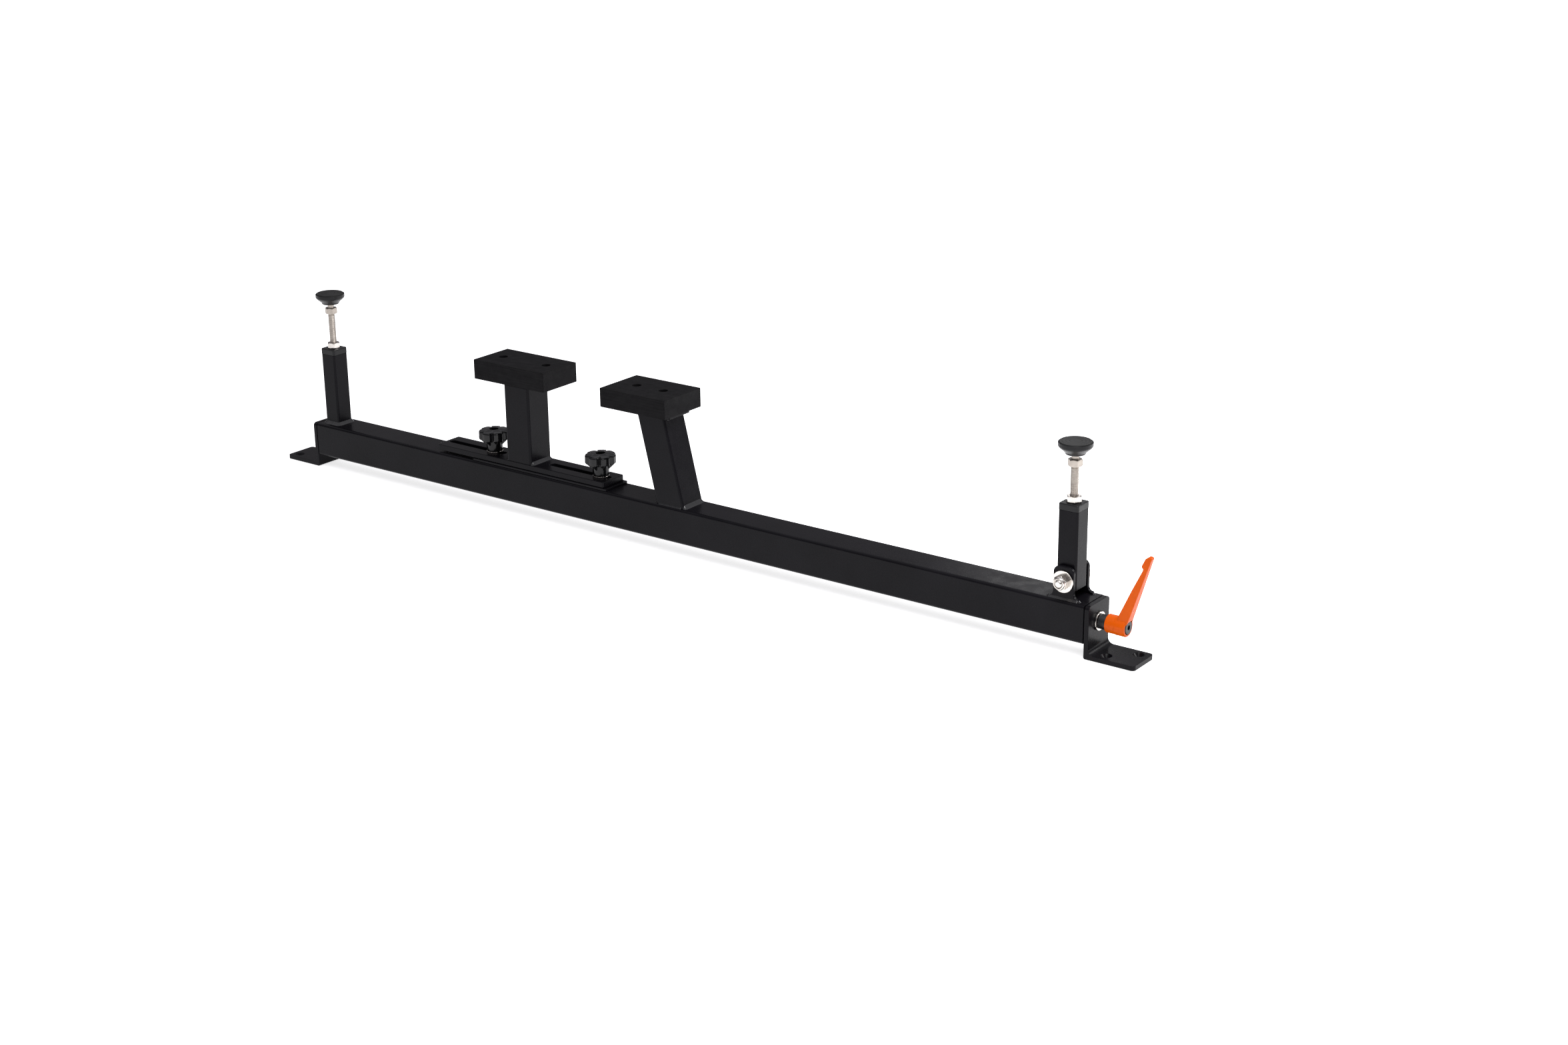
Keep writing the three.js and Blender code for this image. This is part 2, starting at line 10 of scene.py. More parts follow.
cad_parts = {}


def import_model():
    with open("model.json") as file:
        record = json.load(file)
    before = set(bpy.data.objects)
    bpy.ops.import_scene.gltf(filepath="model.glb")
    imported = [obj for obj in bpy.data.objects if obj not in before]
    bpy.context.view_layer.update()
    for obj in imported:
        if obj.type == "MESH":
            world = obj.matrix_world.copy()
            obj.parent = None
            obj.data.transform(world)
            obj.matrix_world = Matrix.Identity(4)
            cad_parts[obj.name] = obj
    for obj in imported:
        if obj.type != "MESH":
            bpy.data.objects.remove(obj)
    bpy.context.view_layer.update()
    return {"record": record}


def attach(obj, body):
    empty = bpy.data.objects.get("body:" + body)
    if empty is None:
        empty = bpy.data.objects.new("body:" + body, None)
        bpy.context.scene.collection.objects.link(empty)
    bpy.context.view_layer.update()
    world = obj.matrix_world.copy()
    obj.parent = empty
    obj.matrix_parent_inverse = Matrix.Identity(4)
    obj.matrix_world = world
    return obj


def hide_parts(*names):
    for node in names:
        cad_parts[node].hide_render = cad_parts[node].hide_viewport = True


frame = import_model()

# All lengths below are millimetres, x from the beam's left end, z from the bench.
X_MID = 664.1
Z_TOP = 68.0
Z_AXIS = 43.0
BEAM_L = 1322.0
LEVER_X = 1329.5
RIGHT_POST_X = 1290.3
LEFT_POST_X = 22.5
HINGE_Z = 91.2


def world(p):
    return ((p[0] - X_MID) * 0.001, p[1] * 0.001, p[2] * 0.001)


# ------------------------------------------------------------------ placing
def along_z(x=0.0, y=0.0, z=0.0):
    return lambda u, v, w: (x + u, y + v, z + w)


def along_x(x=0.0, y=0.0, z=0.0):
    return lambda u, v, w: (x + w, y + u, z + v)


def along_y(x=0.0, y=0.0, z=0.0):
    return lambda u, v, w: (x + u, y + w, z + v)


# ------------------------------------------------------------------ outlines
def arc(cx, cy, r, a0, a1, n):
    return [(cx + r * math.cos(math.radians(a0 + (a1 - a0) * i / n)),
             cy + r * math.sin(math.radians(a0 + (a1 - a0) * i / n))) for i in range(n + 1)]


def rounded(w, h, r, cx=0.0, cy=0.0, n=8):
    x, y = w / 2, h / 2
    return (arc(cx + x - r, cy - y + r, r, -90, 0, n) + arc(cx + x - r, cy + y - r, r, 0, 90, n)
            + arc(cx - x + r, cy + y - r, r, 90, 180, n) + arc(cx - x + r, cy - y + r, r, 180, 270, n))


def circle(r, cx=0.0, cy=0.0, n=48, start=0.0):
    return [(cx + r * math.cos(start + 2 * math.pi * i / n), cy + r * math.sin(start + 2 * math.pi * i / n)) for i in range(n)]


def slot(x0, x1, w, n=16):
    r = w / 2
    return arc(x1 - r, 0, r, -90, 90, n) + arc(x0 + r, 0, r, 90, 270, n)


def hexagon(af):
    r = af / 2 / math.cos(math.pi / 6)
    return [(r * math.cos(math.pi / 3 * i + math.pi / 6), r * math.sin(math.pi / 3 * i + math.pi / 6)) for i in range(6)]


def rounded_path(points, n=5):
    """closed outline whose corners (x, y, radius) are rounded"""
    out = []
    m = len(points)
    for i in range(m):
        x, y, r = points[i]
        if r <= 0:
            out.append((x, y))
            continue
        a = Vector((points[i - 1][0] - x, points[i - 1][1] - y))
        b = Vector((points[(i + 1) % m][0] - x, points[(i + 1) % m][1] - y))
        a.normalize()
        b.normalize()
        half = math.acos(max(-1, min(1, a.dot(b)))) / 2
        d = r / math.tan(half)
        p0 = Vector((x, y)) + a * d
        p1 = Vector((x, y)) + b * d
        c = Vector((x, y)) + (a + b).normalized() * (r / math.sin(half))
        t0 = math.atan2(p0.y - c.y, p0.x - c.x)
        t1 = math.atan2(p1.y - c.y, p1.x - c.x)
        dt = (t1 - t0 + math.pi) % (2 * math.pi) - math.pi
        for k in range(n + 1):
            t = t0 + dt * k / n
            out.append((c.x + r * math.cos(t), c.y + r * math.sin(t)))
    return out


def area(pts):
    return 0.5 * sum(pts[i - 1][0] * pts[i][1] - pts[i][0] * pts[i - 1][1] for i in range(len(pts)))


def inset(pts, d):
    """moves each side of a closed outline towards its left by d"""
    if abs(d) < 1e-9:
        return list(pts)
    n = len(pts)
    out = []
    for i in range(n):
        p0, p1, p2 = pts[i - 1], pts[i], pts[(i + 1) % n]
        e1 = Vector((p1[0] - p0[0], p1[1] - p0[1])).normalized()
        e2 = Vector((p2[0] - p1[0], p2[1] - p1[1])).normalized()
        n1 = Vector((-e1.y, e1.x))
        n2 = Vector((-e2.y, e2.x))
        s = d / max(0.35, 1 + n1.dot(n2))
        out.append((p1[0] + (n1.x + n2.x) * s, p1[1] + (n1.y + n2.y) * s))
    return out


# ------------------------------------------------------------------ meshes
def finish_mesh(bm, name, angle=38.0, merge=1e-7):
    bmesh.ops.remove_doubles(bm, verts=bm.verts, dist=merge)
    bmesh.ops.dissolve_degenerate(bm, edges=bm.edges, dist=1e-8)
    bmesh.ops.recalc_face_normals(bm, faces=bm.faces)
    me = bpy.data.meshes.new(name)
    bm.to_mesh(me)
    bm.free()
    shade(me, angle)
    return me


def shade(me, angle=38.0):
    me.shade_smooth()
    me.set_sharp_from_angle(angle=math.radians(angle))


def obj_from(me, name):
    o = bpy.data.objects.new(name, me)
    bpy.context.scene.collection.objects.link(o)
    return o


def raw_prism(bm, loops, a, b, e, place, n=3, ea=None, eb=None):
    """outline (and holes) extruded from a to b with its rims rounded by e"""
    ea = e if ea is None else ea
    eb = e if eb is None else eb
    turned_loops = []
    for k, lp in enumerate(loops):
        ccw = area(lp) > 0
        turned_loops.append(list(lp) if ccw == (k == 0) else list(reversed(lp)))
    levels = []
    for i in range(n + 1 if ea > 0 else 1):
        t = math.pi / 2 * i / n
        levels.append((ea * (1 - math.sin(t)), a + ea * (1 - math.cos(t))) if ea > 0 else (0.0, a))
    for i in range(n, -1, -1) if eb > 0 else [0]:
        t = math.pi / 2 * i / n
        levels.append((eb * (1 - math.sin(t)), b - eb * (1 - math.cos(t))) if eb > 0 else (0.0, b))
    caps = [[], []]
    for lp in turned_loops:
        rows = []
        for d, w in levels:
            rows.append([bm.verts.new(world(place(u, v, w))) for u, v in inset(lp, d)])
        m = len(lp)
        for r0, r1 in zip(rows, rows[1:]):
            for i in range(m):
                j = (i + 1) % m
                bm.faces.new((r0[i], r0[j], r1[j], r1[i]))
        caps[0].append((rows[0], inset(lp, levels[0][0])))
        caps[1].append((rows[-1], inset(lp, levels[-1][0])))
    for cap in caps:
        verts = [v for row, _ in cap for v in row]
        if len(cap) == 1:
            bm.faces.new(verts)
            continue
        tris = tessellate_polygon([[Vector((u, v, 0)) for u, v in pts] for _, pts in cap])
        for t in tris:
            try:
                bm.faces.new([verts[i] for i in t])
            except ValueError:
                pass


def prism(name, loops, a, b, e=0.4, place=None, n=3, ea=None, eb=None, angle=38.0):
    bm = bmesh.new()
    raw_prism(bm, loops, a, b, e, place or along_z(), n, ea, eb)
    return obj_from(finish_mesh(bm, name, angle), name)


def soften(profile, n=4):
    """profile points (r, h) or (r, h, radius): the corner is rounded"""
    out = []
    m = len(profile)
    for i, p in enumerate(profile):
        if len(p) == 2 or i in (0, m - 1):
            out.append((p[0], p[1]))
            continue
        x, y, r = p
        a = Vector((profile[i - 1][0] - x, profile[i - 1][1] - y)).normalized()
        b = Vector((profile[i + 1][0] - x, profile[i + 1][1] - y)).normalized()
        half = math.acos(max(-1, min(1, a.dot(b)))) / 2
        d = r / math.tan(half)
        c = Vector((x, y)) + (a + b).normalized() * (r / math.sin(half))
        p0 = Vector((x, y)) + a * d
        p1 = Vector((x, y)) + b * d
        t0 = math.atan2(p0.y - c.y, p0.x - c.x)
        t1 = math.atan2(p1.y - c.y, p1.x - c.x)
        dt = (t1 - t0 + math.pi) % (2 * math.pi) - math.pi
        for k in range(n + 1):
            t = t0 + dt * k / n
            out.append((c.x + r * math.cos(t), c.y + r * math.sin(t)))
    return out


def raw_lathe(bm, profile, place, seg=48, radius=None, closed=False, n=4):
    """turned body; radius(theta, r, k) may bend the circle"""
    pts = soften(profile, n)
    rows = []
    for k, (r, h) in enumerate(pts):
        if r < 1e-6:
            rows.append([bm.verts.new(world(place(0, 0, h)))])
            continue
        row = []
        for i in range(seg):
            t = 2 * math.pi * i / seg
            rr = radius(t, r, h) if radius else r
            row.append(bm.verts.new(world(place(rr * math.cos(t), rr * math.sin(t), h))))
        rows.append(row)
    pairs = list(zip(rows, rows[1:]))
    if closed:
        pairs.append((rows[-1], rows[0]))
    for a, b in pairs:
        if len(a) == 1 and len(b) == 1:
            continue
        for i in range(seg):
            j = (i + 1) % seg
            if len(a) == 1:
                bm.faces.new((a[0], b[j], b[i]))
            elif len(b) == 1:
                bm.faces.new((a[i], a[j], b[0]))
            else:
                bm.faces.new((a[i], a[j], b[j], b[i]))


def lathe(name, profile, place=None, seg=48, radius=None, closed=False, angle=38.0, n=4):
    bm = bmesh.new()
    raw_lathe(bm, profile, place or along_z(), seg, radius, closed, n)
    return obj_from(finish_mesh(bm, name, angle), name)


def ring_profile(r0, r1, a, b, e=0.25):
    # a closed ring section, started half way along its inner face
    m = (a + b) / 2
    return [(r0, m), (r0, a, e), (r1, a, e), (r1, b, e), (r0, b, e), (r0, m)]


def ring(name, r0, r1, a, b, place, e=0.25, seg=64):
    bm = bmesh.new()
    raw_lathe(bm, ring_profile(r0, r1, a, b, e), place, seg, n=3)
    return obj_from(finish_mesh(bm, name), name)


def hex_radius(af, top=None, bottom=None, flat=None, turn=0.0):
    """radius of a hexagon across flats af, cut by 30 degree chamfer cones"""
    flat = flat or af * 0.475

    def f(t, r, h):
        a = (t - turn) % (math.pi / 3) - math.pi / 6
        x = af / 2 / math.cos(a)
        if top is not None:
            x = min(x, flat + (top - h) * 1.7)
        if bottom is not None:
            x = min(x, flat + (h - bottom) * 1.7)
        return min(x, r)
    return f


def hex_body(name, af, a, b, place, hole=0.0, top=True, bottom=True, turn=0.0, seg=96, angle=26.0, extra=None):
    """hexagon with chamfered corners; the flats are exact planes"""
    steps = [0.0, 0.25, 0.5, 0.75, 1.0, 1.3]
    hs = [a + s for s in steps] + [b - s for s in reversed(steps)]
    big = af
    prof = [(big, h) for h in hs]
    f = hex_radius(af, b if top else None, a if bottom else None, turn=turn)
    if hole > 0:
        prof = [(hole + 0.35, a)] + prof + [(hole + 0.35, b), (hole, b - 0.35), (hole, a + 0.35), (hole + 0.35, a)]
    else:
        prof = [(0.0, a)] + prof + [(0.0, b)]

    def radius(t, r, h):
        if r > big * 0.9:
            return f(t, r, h)
        return r
    bm = bmesh.new()
    raw_lathe(bm, prof, place, seg, radius)
    if extra:
        extra(bm)
    return obj_from(finish_mesh(bm, name, angle), name)


def raw_thread(bm, r, pitch, z0, z1, place, seg=32, steps=6, depth=0.0, fade=1.0):
    """external screw thread with a rounded end at both ends"""
    depth = depth or pitch * 0.6
    count = int((z1 - z0) / pitch * steps)
    rows = []
    for j in range(count + 1):
        z = z0 + (z1 - z0) * j / count
        row = []
        for i in range(seg):
            t = 2 * math.pi * i / seg
            w = abs(2 * ((z / pitch - i / seg) % 1.0) - 1)
            w = max(0.0, min(1.0, (w - 0.12) / 0.76))
            near = min(z - z0, z1 - z)
            limit = r - max(0.0, fade - near) * 0.9
            row.append(bm.verts.new(world(place(min(r - depth * w, limit) * math.cos(t), min(r - depth * w, limit) * math.sin(t), z))))
        rows.append(row)
    for a, b in zip(rows, rows[1:]):
        for i in range(seg):
            j = (i + 1) % seg
            bm.faces.new((a[i], a[j], b[j], b[i]))
    for row, z in ((rows[0], z0), (rows[-1], z1)):
        c = bm.verts.new(world(place(0, 0, z)))
        for i in range(seg):
            bm.faces.new((row[i], row[(i + 1) % seg], c))


def evaluated(o, name=None):
    dg = bpy.context.evaluated_depsgraph_get()
    dg.update()
    me = bpy.data.meshes.new_from_object(o.evaluated_get(dg))
    o.modifiers.clear()
    old = o.data
    o.data = me
    if name:
        me.name = name
    bpy.data.meshes.remove(old)
    return o


def boolean(a, b, op="DIFFERENCE"):
    m = a.modifiers.new("b", "BOOLEAN")
    m.operation = op
    m.solver = "EXACT"
    m.object = b
    evaluated(a)
    me = b.data
    bpy.data.objects.remove(b)
    bpy.data.meshes.remove(me)
    return a


def bevelled(o, width, seg=2, angle=32.0, sharp=38.0):
    m = o.modifiers.new("e", "BEVEL")
    m.width = width * 0.001
    m.segments = seg
    m.limit_method = "ANGLE"
    m.angle_limit = math.radians(angle)
    m.miter_outer = "MITER_ARC"
    evaluated(o)
    shade(o.data, sharp)
    return o


# ------------------------------------------------------------------ materials
def coords(nt, scale=(1, 1, 1)):
    tc = nt.nodes.new("ShaderNodeTexCoord")
    mp = nt.nodes.new("ShaderNodeMapping")
    mp.inputs["Scale"].default_value = scale
    nt.links.new(tc.outputs["Object"], mp.inputs["Vector"])
    return mp.outputs["Vector"]


def noise(nt, vec, scale, detail=3.0, rough=0.5):
    n = nt.nodes.new("ShaderNodeTexNoise")
    n.inputs["Scale"].default_value = scale
    n.inputs["Detail"].default_value = detail
    n.inputs["Roughness"].default_value = rough
    nt.links.new(vec, n.inputs["Vector"])
    return n.outputs["Fac"]


def ramp(nt, fac, stops):
    r = nt.nodes.new("ShaderNodeValToRGB")
    el = r.color_ramp.elements
    while len(el) < len(stops):
        el.new(0.5)
    for e, (p, c) in zip(el, stops):
        e.position = p
        e.color = (*c, 1) if len(c) == 3 else c
    nt.links.new(fac, r.inputs["Fac"])
    return r.outputs["Color"]


def remap(nt, fac, a, b, c, d):
    m = nt.nodes.new("ShaderNodeMapRange")
    m.inputs["From Min"].default_value = a
    m.inputs["From Max"].default_value = b
    m.inputs["To Min"].default_value = c
    m.inputs["To Max"].default_value = d
    nt.links.new(fac, m.inputs["Value"])
    return m.outputs["Result"]


def bump(nt, height, strength, distance, normal=None):
    b = nt.nodes.new("ShaderNodeBump")
    b.inputs["Strength"].default_value = strength
    b.inputs["Distance"].default_value = distance
    nt.links.new(height, b.inputs["Height"])
    if normal is not None:
        nt.links.new(normal, b.inputs["Normal"])
    return b.outputs["Normal"]


def material(name, metallic=0.0, specular=0.5, ior=1.5):
    m = bpy.data.materials.new(name)
    m.use_nodes = True
    nt = m.node_tree
    nt.nodes.clear()
    out = nt.nodes.new("ShaderNodeOutputMaterial")
    s = nt.nodes.new("ShaderNodeBsdfPrincipled")
    s.inputs["Metallic"].default_value = metallic
    s.inputs["Specular IOR Level"].default_value = specular
    s.inputs["IOR"].default_value = ior
    nt.links.new(s.outputs["BSDF"], out.inputs["Surface"])
    return m, nt, s


def powder(name, low, high, r0=0.24, r1=0.33, peel=0.08, spec=0.07):
    """semi-gloss powder coat: fine orange peel, faint clouding, rare dust specks"""
    m, nt, s = material(name, 0.0, spec)
    v = coords(nt)
    cloud = noise(nt, v, 14.0, 4.0, 0.55)
    speck = noise(nt, v, 900.0, 2.0, 0.6)
    base = ramp(nt, cloud, [(0.35, low), (0.68, high)])
    dust = ramp(nt, speck, [(0.74, (0, 0, 0)), (0.8, (1, 1, 1))])
    mix = nt.nodes.new("ShaderNodeMix")
    mix.data_type = "RGBA"
    mix.blend_type = "ADD"
    mix.inputs["Factor"].default_value = 0.018
    nt.links.new(base, mix.inputs["A"])
    nt.links.new(dust, mix.inputs["B"])
    nt.links.new(mix.outputs["Result"], s.inputs["Base Color"])
    nt.links.new(remap(nt, noise(nt, v, 60.0, 3.0), 0.3, 0.7, r0, r1), s.inputs["Roughness"])
    fine = noise(nt, v, 620.0, 2.0, 0.5)
    wide = noise(nt, v, 170.0, 2.0, 0.5)
    n1 = bump(nt, wide, peel, 0.0006)
    n2 = bump(nt, fine, peel * 0.8, 0.00022, n1)
    nt.links.new(n2, s.inputs["Normal"])
    return m


def steel(name, low, high, r0, r1, stretch=(260, 260, 40), lines=0.25, metallic=1.0):
    """plated or blackened steel with faint tool lines and clouding"""
    m, nt, s = material(name, metallic, 0.5)
    v = coords(nt)
    w = coords(nt, stretch)
    cloud = noise(nt, v, 120.0, 4.0, 0.6)
    nt.links.new(ramp(nt, cloud, [(0.3, low), (0.7, high)]), s.inputs["Base Color"])
    nt.links.new(remap(nt, noise(nt, v, 300.0, 3.0), 0.3, 0.7, r0, r1), s.inputs["Roughness"])
    nt.links.new(bump(nt, noise(nt, w, 12.0, 3.0, 0.6), lines, 0.00012), s.inputs["Normal"])
    return m


def moulded(name, low, high, r0, r1, grain=900.0, strength=0.1, dist=0.00015, spec=0.5):
    m, nt, s = material(name, 0.0, spec)
    v = coords(nt)
    nt.links.new(ramp(nt, noise(nt, v, 35.0, 4.0, 0.6), [(0.3, low), (0.7, high)]), s.inputs["Base Color"])
    nt.links.new(remap(nt, noise(nt, v, 110.0, 3.0), 0.3, 0.7, r0, r1), s.inputs["Roughness"])
    nt.links.new(bump(nt, noise(nt, v, grain, 3.0, 0.6), strength, dist), s.inputs["Normal"])
    return m


def milled(name, low, high):
    """sawn and milled black polyethylene: fine streaks along the block and light scuffs"""
    m, nt, s = material(name, 0.0, 0.05)
    v = coords(nt)
    streak = noise(nt, coords(nt, (22, 900, 900)), 1.0, 3.0, 0.6)
    chat = noise(nt, coords(nt, (1500, 60, 60)), 1.0, 2.0, 0.5)
    base = ramp(nt, streak, [(0.3, low), (0.75, high)])
    nt.links.new(base, s.inputs["Base Color"])
    nt.links.new(remap(nt, noise(nt, v, 90.0, 3.0), 0.3, 0.7, 0.5, 0.66), s.inputs["Roughness"])
    n1 = bump(nt, streak, 0.35, 0.0002)
    n2 = bump(nt, chat, 0.18, 0.0001, n1)
    nt.links.new(n2, s.inputs["Normal"])
    return m


M = {
    "powder": powder("powder_black", (0.0031, 0.0028, 0.0038), (0.0047, 0.0043, 0.0057)),
    "weld": powder("powder_black_weld", (0.0040, 0.0039, 0.0046), (0.0062, 0.0060, 0.0070), 0.15, 0.22, 0.12, 0.42),
    "steel": steel("bright_steel", (0.47, 0.44, 0.41), (0.58, 0.55, 0.515), 0.15, 0.26, lines=0.05),
    "dark": steel("dark_steel", (0.020, 0.020, 0.021), (0.034, 0.034, 0.036), 0.36, 0.5, metallic=0.7),
    "nylon": moulded("nylon", (0.56, 0.54, 0.48), (0.66, 0.64, 0.58), 0.4, 0.55),
    "cap": moulded("cap_plastic", (0.0040, 0.0040, 0.0046), (0.0060, 0.0060, 0.0068), 0.28, 0.38, spec=0.2),
    "rubber": moulded("pad_rubber", (0.012, 0.012, 0.012), (0.02, 0.02, 0.02), 0.75, 0.9, 1400.0, 0.3, 0.0002, 0.3),
    "knob": moulded("knob_plastic", (0.0028, 0.0028, 0.0032), (0.0045, 0.0045, 0.005), 0.12, 0.20, 260.0, 0.05, 0.0003, 0.24),
    "block": milled("block_plastic", (0.0030, 0.0028, 0.0032), (0.0075, 0.0071, 0.0079)),
    "orange": moulded("lever_orange", (0.455, 0.062, 0.0008), (0.50, 0.073, 0.0012), 0.26, 0.36, 420.0, 0.10, 0.0003, 0.08),
    "stud": steel("bright_steel_thread", (0.34, 0.305, 0.27), (0.42, 0.38, 0.34), 0.36, 0.46, lines=0.05),
}
BODY = {n: b for b, ns in frame["record"]["behaviour"]["bodies"].items() for n in ns}


def put(o, mat, *nodes, body=None):
    """material, body and the CAD nodes this piece stands for"""
    o.data.materials.clear()
    o.data.materials.append(M[mat])
    if o.data.polygons:
        w = o.modifiers.new("wn", "WEIGHTED_NORMAL")
        w.mode = "FACE_AREA"
        w.keep_sharp = True
        w.weight = 50
        evaluated(o)
    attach(o, body or BODY[nodes[0]])
    if nodes:
        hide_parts(*nodes)
    return o


def joined(name, makers, angle=38.0):
    """one piece from several closed shells drawn into the same mesh"""
    bm = bmesh.new()
    for make in makers:
        make(bm)
    return obj_from(finish_mesh(bm, name, angle), name)


# ------------------------------------------------------------------ weld beads
def bead(name, path, normals, z, leg, rise, pitch=2.4, closed=True, seed=1, shear=None, steps=5, bulge=-0.04, down=False):
    """ropey fillet weld along a path on a flat surface; normals point away from the wall"""
    rnd = random.Random(seed)
    # resample by length
    pts, nor = [], []
    m = len(path)
    segs = m if closed else m - 1
    step = pitch / steps
    for i in range(segs):
        p, q = Vector(path[i]), Vector(path[(i + 1) % m])
        a, b = Vector(normals[i]), Vector(normals[(i + 1) % m])
        k = max(1, int(round((q - p).length / step)))
        for j in range(k):
            t = j / k
            pts.append(p.lerp(q, t))
            nor.append(a.lerp(b, t).normalized())
    if not closed:
        pts.append(Vector(path[-1]))
        nor.append(Vector(normals[-1]).normalized())
    s = 0.0
    rows = []
    bm = bmesh.new()
    wob = [rnd.uniform(-1, 1) for _ in range(4000)]
    cells = 7
    for i, (p, nn) in enumerate(zip(pts, nor)):
        if i:
            s += (pts[i] - pts[i - 1]).length
        c = s / pitch
        k = int(c)
        f = c - k
        w = wob[k % 4000] * (1 - f) + wob[(k + 1) % 4000] * f
        scallop = math.sin(math.pi * f) ** 0.6
        g = 1 + 0.035 * w
        lo = leg * (g * 0.98 + 0.02 * scallop)
        hi = rise * (g * 0.98 + 0.02 * scallop)
        if not closed:
            end = min(s, 1e9)
            total = sum((pts[j] - pts[j - 1]).length for j in range(1, len(pts))) if i == 0 else total
            fade = min(1.0, (min(s, total - s) + 0.3) / (leg * 0.8))
            fade = math.sqrt(max(0.05, fade))
            lo *= fade
            hi *= fade
        row = []
        for q in range(cells + 1):
            t = q / cells
            b = (bulge + 0.03 * scallop) * math.sin(math.pi * t) * (lo + hi) / 2
            out = lo * (1 - t) + b * 0.7
            up = hi * t + b * 0.7
            row.append((out, up))
        row.append((-0.5, hi * 0.98))
        row.append((-0.5, 0.0))
        rr = []
        for out, up in row:
            zz = z - up if down else z + up
            x = p.x + nn.x * out
            if shear:
                x += shear(zz) - shear(z)
            rr.append(bm.verts.new(world((x, p.y + nn.y * out, zz))))
        rows.append(rr)
    n = len(rows)
    m = len(rows[0])
    for i in range(n if closed else n - 1):
        a, b = rows[i], rows[(i + 1) % n]
        for q in range(m):
            r = (q + 1) % m
            bm.faces.new((a[q], a[r], b[r], b[q]))
    if not closed:
        bm.faces.new(rows[0])
        bm.faces.new(list(reversed(rows[-1])))
    return obj_from(finish_mesh(bm, name, 55.0), name)


def around(w, d, r, cx, cy=0.0, n=6):
    pts, nor = [], []
    for (sx, sy, a0) in ((1, -1, -90), (1, 1, 0), (-1, 1, 90), (-1, -1, 180)):
        x, y = cx + sx * (w / 2 - r), cy + sy * (d / 2 - r)
        for i in range(n + 1):
            t = math.radians(a0 + 90 * i / n)
            pts.append((x + r * math.cos(t), y + r * math.sin(t)))
            nor.append((math.cos(t), math.sin(t)))
    return pts, nor


# ------------------------------------------------------------------ bench brackets
def bracket(name, place):
    # angle section: nearly square outer corner, wide inside fillet
    L, R, T, O = 69.0, 14.0, 6.0, 2.0
    s = arc(O, O, O, 180, 270, 6) + [(L, 0), (L, T)] + arc(R, R, R - T, 270, 180, 12) + [(T, Z_TOP), (0, Z_TOP)]
    b = prism(name, [s], -25, 25, 0, lambda u, v, w: place(u, w, v))
    up = prism("c", [rounded(50, 160, 5, 0, Z_TOP - 80, 8)], -5, L + 5, 0, lambda u, v, w: place(w, u, v))
    boolean(b, up, "INTERSECT")
    foot = prism("c", [rounded(160, 50, 5, L - 80, 0, 8)], -5, Z_TOP + 5, 0, lambda u, v, w: place(u, v, w))
    boolean(b, foot, "INTERSECT")
    bevelled(b, 1.2, 4, 35.0)
    bm = bmesh.new()
    raw_prism(bm, [circle(6.3, 0, Z_AXIS, 48)], -2, 9, 0, lambda u, v, w: place(w, u, v))
    boolean(b, obj_from(finish_mesh(bm, "c"), "c"))
    for x, y in ((24.8, -12.5), (55, 13)):
        c = lathe("c", [(0, -1), (3.3, -1), (3.3, 2.1), (6.9, 5.7), (7.6, 6.05), (7.6, 9), (0, 9)],
                  lambda u, v, w, x=x, y=y: place(x + u, y + v, w), 48)
        boolean(b, c)
    shade(b.data, 32.0)
    return b


right_place = lambda u, v, w: (BEAM_L + 1.5 + u, v, w)
left_place = lambda u, v, w: (-1.5 - u, -v, w)
put(bracket("right_bracket_plate", right_place), "powder", "right_bracket")
put(bracket("left_bracket_plate", left_place), "powder", "left_bracket")

# ------------------------------------------------------------------ beam
beam = prism("beam_tube", [rounded(50, 50, 4, 0, Z_AXIS, 8), rounded(44, 44, 1.5, 0, Z_AXIS, 4)], 0, BEAM_L, 0.35, along_x())
for x in (343, 543):
    boolean(beam, lathe("c", [(0, 60), (5.8, 60), (5.8, 75), (0, 75)], along_z(x, 0, 0), 40))
shade(beam.data)
put(beam, "powder", "main_beam")
for side, x in (("left", 0.4), ("right", BEAM_L - 8.4)):
    p = prism(f"{side}_end_plate", [rounded(43.3, 43.3, 1.3, 0, Z_AXIS, 4), circle(6.25, 0, Z_AXIS, 40)], x, x + 8, 0.4, along_x())
    put(p, "powder", f"beam_end_plate_{side}")

ax = along_x(0, 0, Z_AXIS)
def pivot(bm):
    raw_lathe(bm, [(0, -9.9), (5.9, -9.9), (5.9, 13.2), (5.2, 14), (0, 14)], ax, 40)
put(hex_body("pivot_bolt", 18, -17.6, -9.8, ax, bottom=True, top=False, extra=pivot), "steel", "left_pivot_bolt")
put(ring("pivot_washer", 6.4, 12, -9.7, -7.7, ax), "steel", "left_pivot_washer")
put(ring("bearing_washer_left", 6.4, 15, -1.35, -0.15, ax), "nylon", "left_bearing_washer")
put(ring("bearing_washer_right", 6.4, 15, 0.15, 1.35, along_x(BEAM_L, 0, Z_AXIS)), "nylon", "right_bearing_washer")

# ------------------------------------------------------------------ clamping lever
lx = along_x(LEVER_X, 0, Z_AXIS)
put(ring("clamp_washer", 6.4, 12, 0.2, 2.7, lx, 0.45, 72), "steel", "lever_washer")


